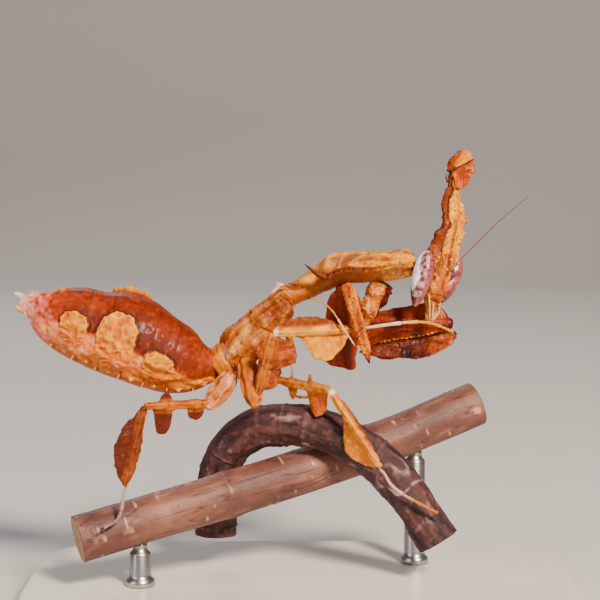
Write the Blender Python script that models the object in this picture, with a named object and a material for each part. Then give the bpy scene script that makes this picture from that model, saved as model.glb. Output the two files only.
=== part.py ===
"""A ghost mantis nymph on its perch, with a plain display stand.

A wingless late nymph, life size, standing on two crossed twigs. It has lifted its right middle leg,
holds it in the right foreleg and cleans the foot with its mouth. Nothing moves.

Frame: +X is the way the body points, +Z is up, and the right side is towards -Y. The origin is the
centre of the stand's underside. Sizes and places below are in millimetres, and MM turns them into metres.
"""

import math

import bpy
import numpy as np

MM = 0.001
GAP = 0.3  # left between neighbouring pieces

# Colours (linear RGB) with roughness and metallic value.
FINISHES = {
    "shell": ((0.42, 0.14, 0.035), 0.55, 0.0),
    "dark_shell": ((0.20, 0.035, 0.015), 0.35, 0.0),
    "pale_shell": ((0.62, 0.36, 0.16), 0.6, 0.0),
    "eye": ((0.40, 0.16, 0.18), 0.25, 0.0),
    "tarsus": ((0.66, 0.55, 0.42), 0.5, 0.0),
    "branch_bark": ((0.28, 0.17, 0.14), 0.85, 0.0),
    "twig_bark": ((0.10, 0.055, 0.055), 0.85, 0.0),
    "base": ((0.62, 0.60, 0.57), 0.35, 0.0),
    "steel": ((0.55, 0.55, 0.56), 0.3, 1.0),
}

# The stand: a flat oval-cornered base and two rods up to the crossing branch.
BASE = (46.0, 28.0, 2.5)  # length, depth, thickness
BASE_CORNER = 8.0
ROD_RADIUS = 0.9
ROD_REACH = (0.14, 0.82)  # how far along the branch each rod meets it

# The perch: a pale branch that lies across, and a dark twig that springs behind it and arches over.
BRANCH_RADIUS = 1.95
BRANCH_AXIS = [(-17.6, -4.3, 6.9), (-7.0, -0.7, 9.4), (5.2, 3.6, 12.6), (15.3, 7.0, 16.2)]
TWIG_RADIUS = 1.75
TWIG_AXIS = [(-7.3, 3.7, 5.7), (-7.2, 3.6, 9.6), (-6.5, 3.2, 13.1), (-3.9, 2.2, 15.1), (-0.8, 1.2, 15.5),
             (2.3, 0.3, 15.1), (5.2, -0.6, 13.7), (8.5, -1.3, 10.8), (11.4, -1.9, 6.2)]

# The trunk, from the tail to the neck.
ABDOMEN_AXIS = [(-22.8, 0.0, 25.6), (-19.6, 0.0, 24.35), (-13.9, 0.0, 22.6), (-9.4, 0.0, 20.9), (-6.9, 0.0, 20.5)]
ABDOMEN_HEIGHT = [1.6, 3.6, 5.0, 6.2, 6.9, 7.0, 6.5, 5.3, 3.7, 2.5]
ABDOMEN_WIDTH = [1.6, 3.2, 4.6, 5.8, 6.6, 6.8, 6.2, 4.9, 3.6, 2.8]
LOBES = [(0.26, 0.75), (0.49, 1.15), (0.70, 0.55)]  # the leafy side lobes: how far along, how far out
LOBE_LENGTH = 0.115
LOBE_ANGLES = (math.radians(4), math.radians(44))  # above the side, right and left: the abdomen is rolled
CERCUS_LENGTH, CERCUS_RADIUS = 0.9, 0.32
THORAX_AXIS = [(-5.95, 0.0, 21.1), (-5.0, 0.0, 22.0), (-3.2, 0.0, 23.8), (-1.0, 0.0, 25.9)]
THORAX_HEIGHT = [2.3, 3.6, 3.1, 2.1]
THORAX_WIDTH = [2.8, 3.3, 2.9, 2.3]
PRONOTUM_AXIS = [(-0.8, 0.0, 26.3), (1.0, 0.0, 27.1), (3.3, 0.0, 28.1), (6.0, 0.0, 28.3), (9.2, 0.0, 28.7)]
PRONOTUM_ROLL = math.radians(-6)
SHIELD_START, SHIELD_TIP = 0.34, 1.6  # where the leafy shield begins, and how far its rear corners reach back
NECK = [(9.6, 0.0, 28.5), (10.35, -0.15, 28.4)]
NECK_RADIUS = 0.62

# The head's own axes: it is turned to the right, leans over and has its chin in.
HEAD_CENTRE = np.array((11.35, -0.35, 27.9))
HEAD_TURN, HEAD_LEAN, HEAD_NOD = math.radians(-40), math.radians(16), math.radians(3)
HEAD_HEIGHT = 5.2
EYE_SIZE = (0.75, 0.9, 2.35)  # half sizes: sideways, forwards, up
EYE_OUT = 1.95
CROWN_AXIS = [(12.1, 0.15, 30.9), (12.6, 0.15, 32.2), (12.6, 0.3, 34.6), (13.15, 0.45, 36.3),
              (13.7, 0.45, 38.4)]
CROWN_WIDTH = [3.3, 3.2, 3.2, 2.8, 2.2, 1.8, 1.4, 1.8, 2.0, 1.7, 0.7]
CROWN_DEPTH = [1.5, 1.2, 1.0, 0.9, 0.85, 0.8, 0.8, 0.9, 0.9, 0.8, 0.6]
CROWN_TWIST = math.radians(-48)
FEELER_RADIUS = 0.26
FEELERS = {
    "antenna_left": [(12.5, -1.45, 28.75), (14.2, -1.6, 30.5), (16.6, -1.8, 32.9), (18.8, -2.0, 34.8)],
    "antenna_right": [(11.45, -2.25, 28.7), (11.7, -2.75, 31.2), (12.0, -2.5, 34.4), (12.6, -2.1, 37.6)],
}

# Joints of each leg in the pose: hip, trochanter, knee, ankle, then the foot.
LEGS = {
    "mid_right": [(-4.3, -1.9, 21.3), (-3.5, -3.4, 17.0), (-2.4, -4.5, 23.9), (4.3, -2.62, 23.8),
                  (9.9, -2.25, 24.4), (12.7, -1.95, 23.5)],
    "mid_left": [(-2.6, 1.2, 21.6), (-2.2, 0.9, 18.9), (2.5, -2.4, 18.9), (6.6, -3.85, 12.6),
                 (7.9, -3.8, 10.7), (11.4, -4.2, 8.8)],
    "hind_right": [(-6.0, -1.75, 20.0), (-7.2, -2.6, 17.4), (-12.7, -5.4, 18.1), (-14.2, -5.6, 11.4),
                   (-14.6, -5.9, 8.9), (-15.9, -6.6, 8.1)],
    "hind_left": [(-4.9, 1.9, 20.9), (-4.4, 3.2, 20.4), (-1.6, 5.0, 27.3), (-0.5, 3.6, 20.2),
                  (-0.8, 2.5, 17.75), (1.3, 1.6, 17.6)],
}
COXA_RADIUS, FEMUR_RADIUS, TIBIA_RADIUS, TARSUS_RADIUS = 0.65, 0.52, 0.46, 0.28
JOINT_RADIUS = 0.3
# Leafy lobes of a walking leg: how far along, half length, depth. Minus depths stand on the upper edge.
COXA_LOBES = [(0.5, 0.34, 0.7)]
FEMUR_LOBES = [(0.30, 0.14, 0.95), (0.73, 0.22, 2.1), (0.70, 0.10, -0.7)]
TIBIA_LOBES = {"mid": [(0.68, 0.31, 1.8), (0.42, 0.4, -0.9)], "hind": [(0.6, 0.36, 0.45), (0.52, 0.42, -1.6)]}
LOBES_FACE = {"hind_left": (0, 1, 0)}  # the folded leg's lobes point out sideways; the others' point inwards

# The forelegs: each piece's ends, radius and depth across the blade.
FORELEGS = {
    "right": {
        "coxa": [(6.3, -0.55, 27.0), (4.6, 0.05, 22.2)],
        "femur": [(3.1, -0.75, 20.2), (3.75, -1.45, 27.2)],
        "tibia": [(4.0, -3.3, 27.7), (5.6, -3.75, 21.4)],
        "tarsus": [(4.4, -3.85, 22.7), (3.6, -3.6, 23.9), (2.4, -3.4, 25.7), (0.8, -3.2, 26.5)],
    },
    "left": {
        "coxa": [(7.3, 0.7, 26.6), (5.0, 1.5, 24.9)],
        "femur": [(5.15, 1.25, 22.8), (12.6, 1.35, 24.2)],
        "tibia": [(12.9, -0.05, 22.8), (5.2, -0.35, 21.7)],
        "tarsus": [(5.3, -0.85, 22.6), (6.8, -1.0, 23.2), (8.6, -1.0, 23.5), (10.0, -0.9, 23.3)],
    },
}
FORE_COXA_RADIUS, FORE_FEMUR_RADIUS, FORE_TIBIA_RADIUS = 0.6, 0.62, 0.5
FORE_FEMUR_DEPTH = {"right": 1.5, "left": 1.85}  # half the blade's depth
FORE_TIBIA_DEPTH = {"right": 0.6, "left": 0.75}


# --- Shape tools -----------------------------------------------------------------------------------------

def smooth_row(rows, count):
    """Points at equal steps on the Catmull-Rom curve through the rows: each span is a cubic whose slope at a
    row is half the step from the row before to the row after."""
    rows = np.array(rows, float)
    if rows.ndim == 1:
        rows = rows[:, None]
    ends = np.vstack([2 * rows[0] - rows[1], rows, 2 * rows[-1] - rows[-2]])
    at = np.linspace(0, len(rows) - 1, count)
    span = np.minimum(at.astype(int), len(rows) - 2)
    t = (at - span)[:, None]
    a, b, c, d = (ends[span + shift] for shift in range(4))
    curve = b + 0.5 * t * (c - a + t * (2 * a - 5 * b + 4 * c - d + t * (3 * (b - c) + d - a)))
    return curve[:, 0] if curve.shape[1] == 1 else curve


def unit(vector):
    vector = np.asarray(vector, float)
    return vector / np.linalg.norm(vector, axis=-1, keepdims=True)


def clear_scene():
    for old in list(bpy.data.objects):
        bpy.data.objects.remove(old, do_unlink=True)


def finish(name):
    """The named finish as a Principled material, made once."""
    material = bpy.data.materials.get(name)
    if material is None:
        colour, roughness, metallic = FINISHES[name]
        material = bpy.data.materials.new(name)
        material.use_nodes = True
        shader = material.node_tree.nodes["Principled BSDF"]
        shader.inputs["Base Color"].default_value = (*colour, 1.0)
        shader.inputs["Roughness"].default_value = roughness
        shader.inputs["Metallic"].default_value = metallic
    return material


def solid(name, points, faces, material):
    """One closed object from points in millimetres."""
    mesh = bpy.data.meshes.new(name)
    mesh.from_pydata((np.asarray(points) * MM).tolist(), [], faces)
    mesh.shade_smooth()
    mesh.set_sharp_from_angle(angle=math.radians(50))
    mesh.materials.append(finish(material))
    thing = bpy.data.objects.new(name, mesh)
    bpy.context.scene.collection.objects.link(thing)
    return thing


def loft(name, centres, outlines, up, material):
    """A closed body through rings. Each ring's outline holds (sideways, upwards) pairs, laid square to the
    run of the centres, with upwards as near to `up` as that allows. Flat faces close both ends."""
    centres = np.asarray(centres, float)
    run = unit(np.gradient(centres, axis=0))
    up = np.broadcast_to(np.asarray(up, float), centres.shape)
    upwards = unit(up - (up * run).sum(1, keepdims=True) * run)
    sideways = np.cross(run, upwards)
    outlines = np.asarray(outlines, float)
    points = (centres[:, None] + outlines[..., :1] * sideways[:, None] + outlines[..., 1:] * upwards[:, None])
    rings, sides = outlines.shape[:2]
    number = np.arange(rings * sides).reshape(rings, sides)
    after = np.roll(number, -1, axis=1)
    walls = np.stack([number[:-1], number[1:], after[1:], after[:-1]], axis=-1).reshape(-1, 4)
    ends = [number[0].tolist(), number[-1][::-1].tolist()]
    return solid(name, points.reshape(-1, 3), walls.tolist() + ends, material)


def oval(width, height, sides):
    """Half-size ovals, one ring for each pair of a width and a height."""
    angle = 2 * math.pi * np.arange(sides) / sides
    return np.stack([np.outer(np.atleast_1d(width) / 2, np.sin(-angle)),
                     np.outer(np.atleast_1d(height) / 2, np.cos(angle))], axis=-1)


def bump(s, at, half_length):
    """A round hump: half a circle's height over `half_length` each side of `at`."""
    return np.sqrt(np.clip(1 - ((s - at) / half_length) ** 2, 0, None))


def limb(name, start, end, under, radius, lobes, material, rings=12, sides=10, tips=(0.3, 0.3), side_radius=None):
    """A leg's piece from start to end: a round shaft with thin leafy lobes on the edge facing `under` or,
    for a minus depth, on the other edge. A lobe thins with the fourth power of the cosine off that edge."""
    start, end = np.array(start, float), np.array(end, float)
    s = np.linspace(0, 1, rings)
    fade = np.minimum(1, (np.minimum(s, 1 - s) / 0.16)) ** 0.5
    tip = np.where(s < 0.5, tips[0], tips[1])
    shaft = tip + (radius - tip) * fade
    below, above = np.zeros(rings), np.zeros(rings)
    for at, half_length, depth in lobes:
        hump = abs(depth) * bump(s, at, half_length)
        if depth > 0:
            below = np.maximum(below, hump)
        else:
            above = np.maximum(above, hump)
    angle = 2 * math.pi * np.arange(sides) / sides
    edge = np.cos(angle)
    reach = np.where(edge > 0, above[:, None], below[:, None]) * edge ** 4
    across = shaft if side_radius is None else tip + (side_radius - tip) * fade
    outline = np.stack([-across[:, None] * np.sin(angle), (shaft[:, None] + reach) * edge], axis=-1)
    return loft(name, start + s[:, None] * (end - start), outline, -np.asarray(under, float), material)


def rod(name, path, radius, sides, material, steps=None, up=(0, 0, 1), taper=1.0):
    """A round rod along a curve, thinning to `taper` of its radius at the far end."""
    centres = smooth_row(path, steps or 3 * len(path))
    size = 2 * radius * np.linspace(1, taper, len(centres))
    return loft(name, centres, oval(size, size, sides), up, material)


# --- Pieces ------------------------------------------------------------------------------------------------

def build_stand():
    length, depth, thick = BASE
    turn = np.linspace(0, math.pi / 2, 6)
    corners = []
    for quarter, (sx, sy) in enumerate([(1, 1), (-1, 1), (-1, -1), (1, -1)]):
        angle = turn + quarter * math.pi / 2
        corners.append(np.stack([sx * (length / 2 - BASE_CORNER) + BASE_CORNER * np.cos(angle),
                                 sy * (depth / 2 - BASE_CORNER) + BASE_CORNER * np.sin(angle)], axis=-1))
    rim = np.vstack(corners)
    bevel = 0.5
    inward = 1 - 2 * bevel / np.array([length, depth])
    levels = [(0.0, 1), (thick - bevel, 1), (thick, 0)]
    rings = [np.column_stack([rim if full else rim * inward, np.full(len(rim), z)]) for z, full in levels]
    points = np.vstack(rings)
    number = np.arange(len(points)).reshape(len(levels), -1)
    after = np.roll(number, -1, axis=1)
    walls = np.stack([number[:-1], after[:-1], after[1:], number[1:]], axis=-1).reshape(-1, 4)
    solid("stand_base", points, walls.tolist() + [number[0][::-1].tolist(), number[-1].tolist()], "base")

    branch = smooth_row(BRANCH_AXIS, 101)
    for side, reach in zip(("left", "right"), ROD_REACH):
        x, y, z = branch[round(reach * 100)]
        top = z - BRANCH_RADIUS - GAP - 0.25
        rod(f"stand_rod_{side}", [(x, y, thick + GAP), (x, y, top)], ROD_RADIUS, 16, "steel", steps=2, up=(1, 0, 0))


def build_perch():
    """Two round sticks, each a little knobbly: the radius waves along the stick and round it."""
    for name, axis, radius, count, up, bark in (
            ("perch_branch", BRANCH_AXIS, BRANCH_RADIUS, 13, (0, 0, 1), "branch_bark"),
            ("perch_twig", TWIG_AXIS, TWIG_RADIUS, 21, (0, 1, 0), "twig_bark")):
        centres = smooth_row(axis, count)
        wave = 1 + 0.03 * np.sin(2.4 * np.arange(count))
        loft(name, centres, oval(2 * radius * wave, 2 * radius * wave, 12), up, bark)


def build_abdomen():
    """A spindle a little wider than high. Three rounded lobes stand out on each side, each a hump along the
    body times a hump round it."""
    rings, sides = 25, 18
    centres = smooth_row(ABDOMEN_AXIS, rings)
    outline = oval(smooth_row(ABDOMEN_WIDTH, rings), smooth_row(ABDOMEN_HEIGHT, rings), sides)
    s = np.linspace(0, 1, rings)
    angle = np.arctan2(outline[..., 1], np.abs(outline[..., 0]))
    above = np.where(outline[..., 0] > 0, *LOBE_ANGLES)
    stretch = np.zeros(outline.shape[:2])
    for at, out in LOBES:
        stretch += out * bump(s, at, LOBE_LENGTH)[:, None] * bump(angle, above, math.radians(32))
    size = np.linalg.norm(outline, axis=-1, keepdims=True)
    loft("abdomen", centres, outline * (1 + stretch[..., None] / size), (0, 0, 1), "shell")
    tail = centres[0]
    away = unit(centres[0] - centres[1])
    for name, side, lift in (("cercus_right", -1, 0.1), ("cercus_left", 1, 0.55)):
        way = unit(away + np.array((0, 0.35 * side, lift)))
        root = tail + away * (GAP + 0.15) + np.array((0, 0.42 * side, 0.3 * lift))
        size = 2 * CERCUS_RADIUS * np.array([1, 1, 0.75, 0.4])
        along = np.linspace(0, CERCUS_LENGTH, 4)
        loft(name, root + along[:, None] * way, oval(size, size, 8), (0, 0, 1), "pale_shell")


def build_thorax():
    rings = 9
    outline = oval(smooth_row(THORAX_WIDTH, rings), smooth_row(THORAX_HEIGHT, rings), 12)
    loft("thorax", smooth_row(THORAX_AXIS, rings), outline, (0, 0, 1), "shell")


def build_pronotum():
    """A narrow waist behind and a leafy shield in front. The shield is a roof: from the keel it slopes to
    thin side edges, whose rear corners are drawn back into a point on each side."""
    rings = 14
    s = np.linspace(0, 1, rings)
    centres = smooth_row(PRONOTUM_AXIS, rings)
    leaf = np.clip((s - SHIELD_START) / (1 - SHIELD_START), 0, 1)
    body = 0.95 + 0.1 * leaf
    spread = body + 2.4 * np.sqrt(np.clip(np.sin(math.pi * np.clip(leaf * 0.86 + 0.14, 0, 1)), 0, 1)) * (leaf > 0)
    keel = 0.95 + 0.75 * np.sqrt(np.sin(math.pi * np.clip(leaf, 0, 1) ** 0.55 * 0.86))
    belly = 0.85 - 0.05 * leaf
    edge = np.where(leaf > 0, 0.05, 0.1)
    half = [(0 * body, keel), (0.5 * spread, 0.5 * (keel + edge) + 0.15), (spread, edge + 0.25), (spread, edge - 0.27),
            (0.9 * body, -0.35 + 0 * body), (0.6 * body, -0.8 * belly), (0 * body, -belly)]
    ring = half + [(-across, height) for across, height in half[-2:0:-1]]
    outline = np.array(ring).transpose(2, 0, 1) * (-1, 1)
    shield = loft("pronotum", centres, outline, (0, -math.sin(PRONOTUM_ROLL), math.cos(PRONOTUM_ROLL)), "shell")
    corner = int(np.argmax(leaf > 0))
    sides = len(ring)
    for place in (2, 3, sides - 3, sides - 2):
        point = shield.data.vertices[corner * sides + place].co
        point.x -= SHIELD_TIP * MM
        point.z += 1.0 * MM


def head_axes():
    """The head's right, forward and up, from its turn about Z, its lean about forward and its nod."""
    forward = np.array((math.cos(HEAD_TURN), math.sin(HEAD_TURN), 0))
    right = np.array((forward[1], -forward[0], 0))
    up = np.array((0, 0, 1.0))
    right, up = (math.cos(HEAD_LEAN) * right + math.sin(HEAD_LEAN) * up,
                 math.cos(HEAD_LEAN) * up - math.sin(HEAD_LEAN) * right)
    forward, up = (math.cos(HEAD_NOD) * forward - math.sin(HEAD_NOD) * up,
                   math.cos(HEAD_NOD) * up + math.sin(HEAD_NOD) * forward)
    return right, forward, up


def build_head():
    right, forward, up = head_axes()
    width = smooth_row([0.9, 1.5, 1.9, 1.55, 1.4, 2.1, 2.9, 3.0], 12)
    depth = smooth_row([0.8, 1.3, 1.6, 1.7, 1.7, 1.7, 1.6, 1.2], 12)
    along = np.linspace(-0.5, 0.5, 12) * HEAD_HEIGHT
    loft("head", HEAD_CENTRE + along[:, None] * up, oval(width, depth, 12), forward, "shell")

    side_half, front_half, up_half = EYE_SIZE
    tilt = unit(up + 0.1 * forward)
    for name, side in (("eye_right", 1), ("eye_left", -1)):
        t = np.linspace(-0.97, 0.97, 9)
        round_off = np.sqrt(1 - t ** 2) * (1 - 0.12 * t)
        centre = HEAD_CENTRE + side * EYE_OUT * right + (-0.15 - 0.4 * side) * up
        lean = unit(tilt + 0.08 * side * right)
        loft(name, centre + t[:, None] * up_half * lean,
             oval(2 * side_half * round_off, 2 * front_half * round_off, 12), forward, "eye")

    chin = HEAD_CENTRE - (0.5 * HEAD_HEIGHT + GAP) * up
    size = np.array([0.9, 0.75, 0.5])
    loft("mouthparts", chin - np.array([0, 0.3, 0.6])[:, None] * up, oval(size, size, 8), forward, "pale_shell")

    rings = len(CROWN_WIDTH)
    twist = CROWN_TWIST * np.linspace(0, 1, rings) ** 1.3
    facing = np.cos(twist)[:, None] * forward + np.sin(twist)[:, None] * np.cross(up, forward)
    outline = oval(CROWN_WIDTH, CROWN_DEPTH, 10)
    loft("crown", smooth_row(CROWN_AXIS, rings), outline, facing, "shell")

    rod("neck", NECK, NECK_RADIUS, 10, "shell", steps=3)
    for name, path in FEELERS.items():
        rod(name, path, FEELER_RADIUS, 6, "shell", up=(0, 1, 0))


def trims(points, most=1.3):
    """How far short of each joint a piece ends, so that flat ends of JOINT_RADIUS clear the plane that
    halves the joint's angle: half the gap plus the end's reach across, over the sine of half the angle."""
    found = []
    for before, joint, after in zip(points, points[1:], points[2:]):
        opening = math.acos(float(np.clip(unit(before - joint) @ unit(after - joint), -1, 1))) / 2
        found.append(min(most, (GAP / 2 + JOINT_RADIUS * math.cos(opening)) / math.sin(opening)))
    return found


def build_walking_leg(name, joints):
    """Coxa, femur and tibia with leafy lobes in the plane that the leg bends in, then a plain thin foot."""
    joints = [np.array(joint, float) for joint in joints]
    hip, trochanter, knee, ankle = joints[:4]
    cut = trims(joints[:5])
    facing = LOBES_FACE.get(name)
    kind = name.split("_")[0]
    pieces = {
        "coxa": (hip, trochanter, COXA_RADIUS, COXA_LOBES, trochanter - knee, "shell"),
        "femur": (trochanter, knee, FEMUR_RADIUS, FEMUR_LOBES, facing or ankle - trochanter, "shell"),
        "tibia": (knee, ankle, TIBIA_RADIUS, TIBIA_LOBES[kind], facing or trochanter - knee, "pale_shell"),
    }
    shortened = {"coxa": (0.0, cut[0]), "femur": (cut[0], cut[1]), "tibia": (cut[1], cut[2])}
    for piece, (start, end, radius, lobes, under, material) in pieces.items():
        way = unit(end - start)
        near, far = shortened[piece]
        under = unit(np.asarray(under, float) - (np.asarray(under, float) @ way) * way)
        limb(f"{name}_{piece}", start + near * way, end - far * way, under, radius, lobes, material)
    foot = joints[3:]
    foot[0] = ankle + cut[2] * unit(foot[1] - ankle)
    rod(f"{name}_tarsus", foot, TARSUS_RADIUS, 8, "tarsus", steps=9, up=(0, 1, 0), taper=0.9)


def build_foreleg(side, ends):
    """A raptorial leg: a plain coxa, a femur with a deep smooth blade, a tibia and its claw, and a foot."""
    name = f"fore_{side}"
    coxa, femur, tibia = (np.array(ends[piece], float) for piece in ("coxa", "femur", "tibia"))
    inward = unit(tibia.mean(0) - femur.mean(0))
    limb(f"{name}_coxa", *coxa, (1, 0, 0), FORE_COXA_RADIUS, [], "shell", rings=9, tips=(0.4, 0.4))
    depth = FORE_FEMUR_DEPTH[side]
    blade = (0, 0, -1) if side == "left" else (1, -0.5, 0)
    limb(f"{name}_femur", *femur, blade, depth, [], "dark_shell", rings=12, sides=12, tips=(0.45, 0.45),
         side_radius=FORE_FEMUR_RADIUS)
    limb(f"{name}_tibia", *tibia, -inward, FORE_TIBIA_DEPTH[side], [], "shell", rings=10, tips=(0.45, 0.26),
         side_radius=FORE_TIBIA_RADIUS)
    rod(f"{name}_tarsus", ends["tarsus"], 0.26, 6, "tarsus", steps=8, up=(0, 1, 0))


def main():
    clear_scene()
    build_stand()
    build_perch()
    build_abdomen()
    build_thorax()
    build_pronotum()
    build_head()
    for name, joints in LEGS.items():
        build_walking_leg(name, joints)
    for side, ends in FORELEGS.items():
        build_foreleg(side, ends)


main()
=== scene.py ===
"""The looks of the ghost mantis nymph: a still, life-size model on two cut twigs, held by a display stand.

Lengths are in millimetres and turned to metres when a mesh is made. The insect heads along +X, its right side
faces -Y, and up is +Z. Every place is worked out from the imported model's own solids.
"""

import math

import bpy
import mathutils
import numpy as np
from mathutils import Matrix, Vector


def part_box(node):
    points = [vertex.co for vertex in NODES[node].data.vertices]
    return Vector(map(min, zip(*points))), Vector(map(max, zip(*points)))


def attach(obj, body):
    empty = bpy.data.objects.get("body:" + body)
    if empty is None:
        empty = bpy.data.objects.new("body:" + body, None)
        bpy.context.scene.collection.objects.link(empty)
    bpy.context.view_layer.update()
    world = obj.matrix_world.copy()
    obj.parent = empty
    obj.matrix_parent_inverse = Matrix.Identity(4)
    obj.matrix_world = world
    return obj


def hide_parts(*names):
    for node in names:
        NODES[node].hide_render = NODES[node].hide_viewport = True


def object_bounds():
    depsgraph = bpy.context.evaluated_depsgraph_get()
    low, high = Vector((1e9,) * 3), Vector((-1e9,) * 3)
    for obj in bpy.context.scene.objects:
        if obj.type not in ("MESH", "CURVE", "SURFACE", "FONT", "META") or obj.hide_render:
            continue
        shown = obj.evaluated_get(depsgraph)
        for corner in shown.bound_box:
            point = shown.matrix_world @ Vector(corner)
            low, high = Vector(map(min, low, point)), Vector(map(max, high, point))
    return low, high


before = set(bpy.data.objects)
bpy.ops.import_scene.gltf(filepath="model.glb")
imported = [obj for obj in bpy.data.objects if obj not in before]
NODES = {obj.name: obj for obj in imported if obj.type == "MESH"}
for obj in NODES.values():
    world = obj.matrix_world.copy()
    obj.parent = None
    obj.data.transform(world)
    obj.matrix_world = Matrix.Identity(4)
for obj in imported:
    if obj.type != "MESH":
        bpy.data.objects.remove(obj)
solid_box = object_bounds()

# --- Stand base ---------------------------------------------------------------------------------------------
# The plate that the model stands on: cast acrylic in warm white, milled to a rounded oblong, its edges
# broken by a small bevel and the faces left satin.

MM = 0.001
PLATE_BEVEL = 0.45
PLATE_CORNER_POWER = 5.0


def linear(colour):
    """Linear red, green and blue of an sRGB hex colour: each channel over 255, then the sRGB curve undone."""
    value = np.array([int(colour[i : i + 2], 16) for i in (1, 3, 5)]) / 255
    return np.where(value <= 0.04045, value / 12.92, ((value + 0.055) / 1.055) ** 2.4)


def unit(vectors):
    """Vectors divided by their own lengths."""
    vectors = np.asarray(vectors, float)
    return vectors / np.maximum(np.linalg.norm(vectors, axis=-1, keepdims=True), 1e-9)


def held(value):
    """A value held from 0 to 1."""
    return np.clip(value, 0, 1)


def whole_turn(count):
    """Angles spread evenly over a whole turn."""
    return np.linspace(0, 2 * math.pi, count, endpoint=False)


def layered(base, *layers):
    """A colour laid over the surface: a base colour, then each (mask, colour) mixed over it in turn, where a
    mask runs from 0, none, to 1, covered."""
    paint = linear(base)
    for mask, colour in layers:
        cover = held(mask)[..., None]
        paint = paint * (1 - cover) + linear(colour) * cover
    return paint


def skin(name, grid, paint, material, stands_for=()):
    """A closed mesh from a grid of points in mm: rows along the piece, columns round it, and one point in the
    middle of the first and the last row to close the ends. paint is a linear colour for each point."""
    rows, columns = grid.shape[:2]
    points = np.concatenate([grid.reshape(-1, 3), grid[0].mean(0)[None], grid[-1].mean(0)[None]]) * MM
    number = np.arange(rows * columns).reshape(rows, columns)
    after = np.roll(number, -1, axis=1)
    quads = np.stack([number[:-1], after[:-1], after[1:], number[1:]], axis=-1).reshape(-1)
    first = np.stack([np.full(columns, rows * columns), after[0], number[0]], axis=-1).reshape(-1)
    last = np.stack([np.full(columns, rows * columns + 1), number[-1], after[-1]], axis=-1).reshape(-1)
    corners = np.concatenate([quads, first, last])
    sides = np.concatenate([np.full(len(quads) // 4, 4), np.full(2 * columns, 3)])
    mesh = bpy.data.meshes.new(name)
    mesh.vertices.add(len(points))
    mesh.vertices.foreach_set("co", points.ravel())
    mesh.loops.add(len(corners))
    mesh.loops.foreach_set("vertex_index", corners)
    mesh.polygons.add(len(sides))
    mesh.polygons.foreach_set("loop_start", np.cumsum(sides) - sides)
    mesh.polygons.foreach_set("use_smooth", np.ones(len(sides), bool))
    mesh.update(calc_edges=True)
    full = np.broadcast_to(paint, grid.shape).reshape(-1, 3)
    ends = np.array([full[:columns].mean(0), full[-columns:].mean(0)])
    rgba = np.concatenate([np.concatenate([full, ends]), np.ones((len(points), 1))], axis=1)
    mesh.attributes.new("paint", "FLOAT_COLOR", "POINT").data.foreach_set("color", rgba.ravel())
    mesh.materials.append(material)
    piece = bpy.data.objects.new(name, mesh)
    bpy.context.collection.objects.link(piece)
    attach(piece, "root")
    for node in stands_for:
        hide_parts(node)
    return piece


def add(tree, kind, settings=None, links=None):
    """Adds a shader node, sets its properties and its sockets' values, and links its inputs, each to a socket
    or to another node's first output."""
    made = tree.nodes.new("ShaderNode" + kind)
    for key, value in (settings or {}).items():
        if isinstance(key, int) or key in made.inputs:
            made.inputs[key].default_value = value
        else:
            setattr(made, key, value)
    for key, source in (links or {}).items():
        tree.links.new(getattr(source, "outputs", [source])[0], made.inputs[key])
    return made


def new_material(name):
    """An empty node material, its tree, and the piece's own coordinates for its patterns."""
    material = bpy.data.materials.new(name)
    material.use_nodes = True
    tree = material.node_tree
    tree.nodes.clear()
    return material, tree, add(tree, "TexCoord").outputs["Object"]


def finished(material, tree, settings, links, height, strength, depth):
    """Ends a material: a shader on its output, with a bump of that strength and depth in mm."""
    bump = add(tree, "Bump", {"Strength": strength, "Distance": depth * MM}, {"Height": height})
    shader = add(tree, "BsdfPrincipled", settings, {**links, "Normal": bump})
    add(tree, "OutputMaterial", {}, {"Surface": shader})
    return material


def satin_acrylic():
    """Cast acrylic with a satin face: an even warm white, very faint cloudiness, and a fine matting of about
    0.2 mm that spreads the highlights."""
    material, tree, place = new_material("cast_acrylic_satin")
    cloudy = add(tree, "TexNoise", {"Scale": 90.0, "Detail": 2.0}, {"Vector": place})
    matting = add(tree, "TexNoise", {"Scale": 5000.0, "Detail": 1.0}, {"Vector": place})
    tint = add(tree, "Mix", {"data_type": "RGBA", 6: (*linear("#d8d3ca"), 1), 7: (*linear("#e0dcd4"), 1)},
               {0: cloudy})
    rough = add(tree, "MapRange", {"To Min": 0.30, "To Max": 0.42}, {"Value": matting})
    return finished(material, tree, {"IOR": 1.49}, {"Base Color": tint.outputs[2], "Roughness": rough},
                    matting, 0.06, 0.02)


def box(node):
    """A node's lowest and highest corners in mm."""
    low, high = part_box(node)
    return np.array(low) / MM, np.array(high) / MM


low, high = box("stand_base")
middle, half = (low + high) / 2, (high - low) / 2
round_turn = whole_turn(192)
# The outline is a superellipse; the profile goes from the middle of the underside out, up the edge and in.
outline_x = np.sign(np.cos(round_turn)) * np.abs(np.cos(round_turn)) ** (2 / PLATE_CORNER_POWER)
outline_y = np.sign(np.sin(round_turn)) * np.abs(np.sin(round_turn)) ** (2 / PLATE_CORNER_POWER)
bevel_turn = np.linspace(0, math.pi / 2, 9)
flat = np.linspace(0.03, 0.97, 10)
share = np.concatenate([flat, np.ones(18), flat[::-1]])
sine, cosine = np.sin(bevel_turn), np.cos(bevel_turn)
inset = PLATE_BEVEL * np.concatenate([np.ones(10), 1 - sine, 1 - cosine, np.ones(10)])
rise = np.concatenate([np.zeros(10), PLATE_BEVEL * (1 - cosine), 2 * half[2] - PLATE_BEVEL * (1 - sine),
                       np.full(10, 2 * half[2])])
plate = np.stack([middle[0] + outline_x * (share * (half[0] - inset))[:, None],
                  middle[1] + outline_y * (share * (half[1] - inset))[:, None],
                  low[2] + rise[:, None] + 0 * outline_x], axis=-1)
skin("stand_plate", plate, layered("#dcd7ce"), satin_acrylic(), ["stand_base"])

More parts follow.
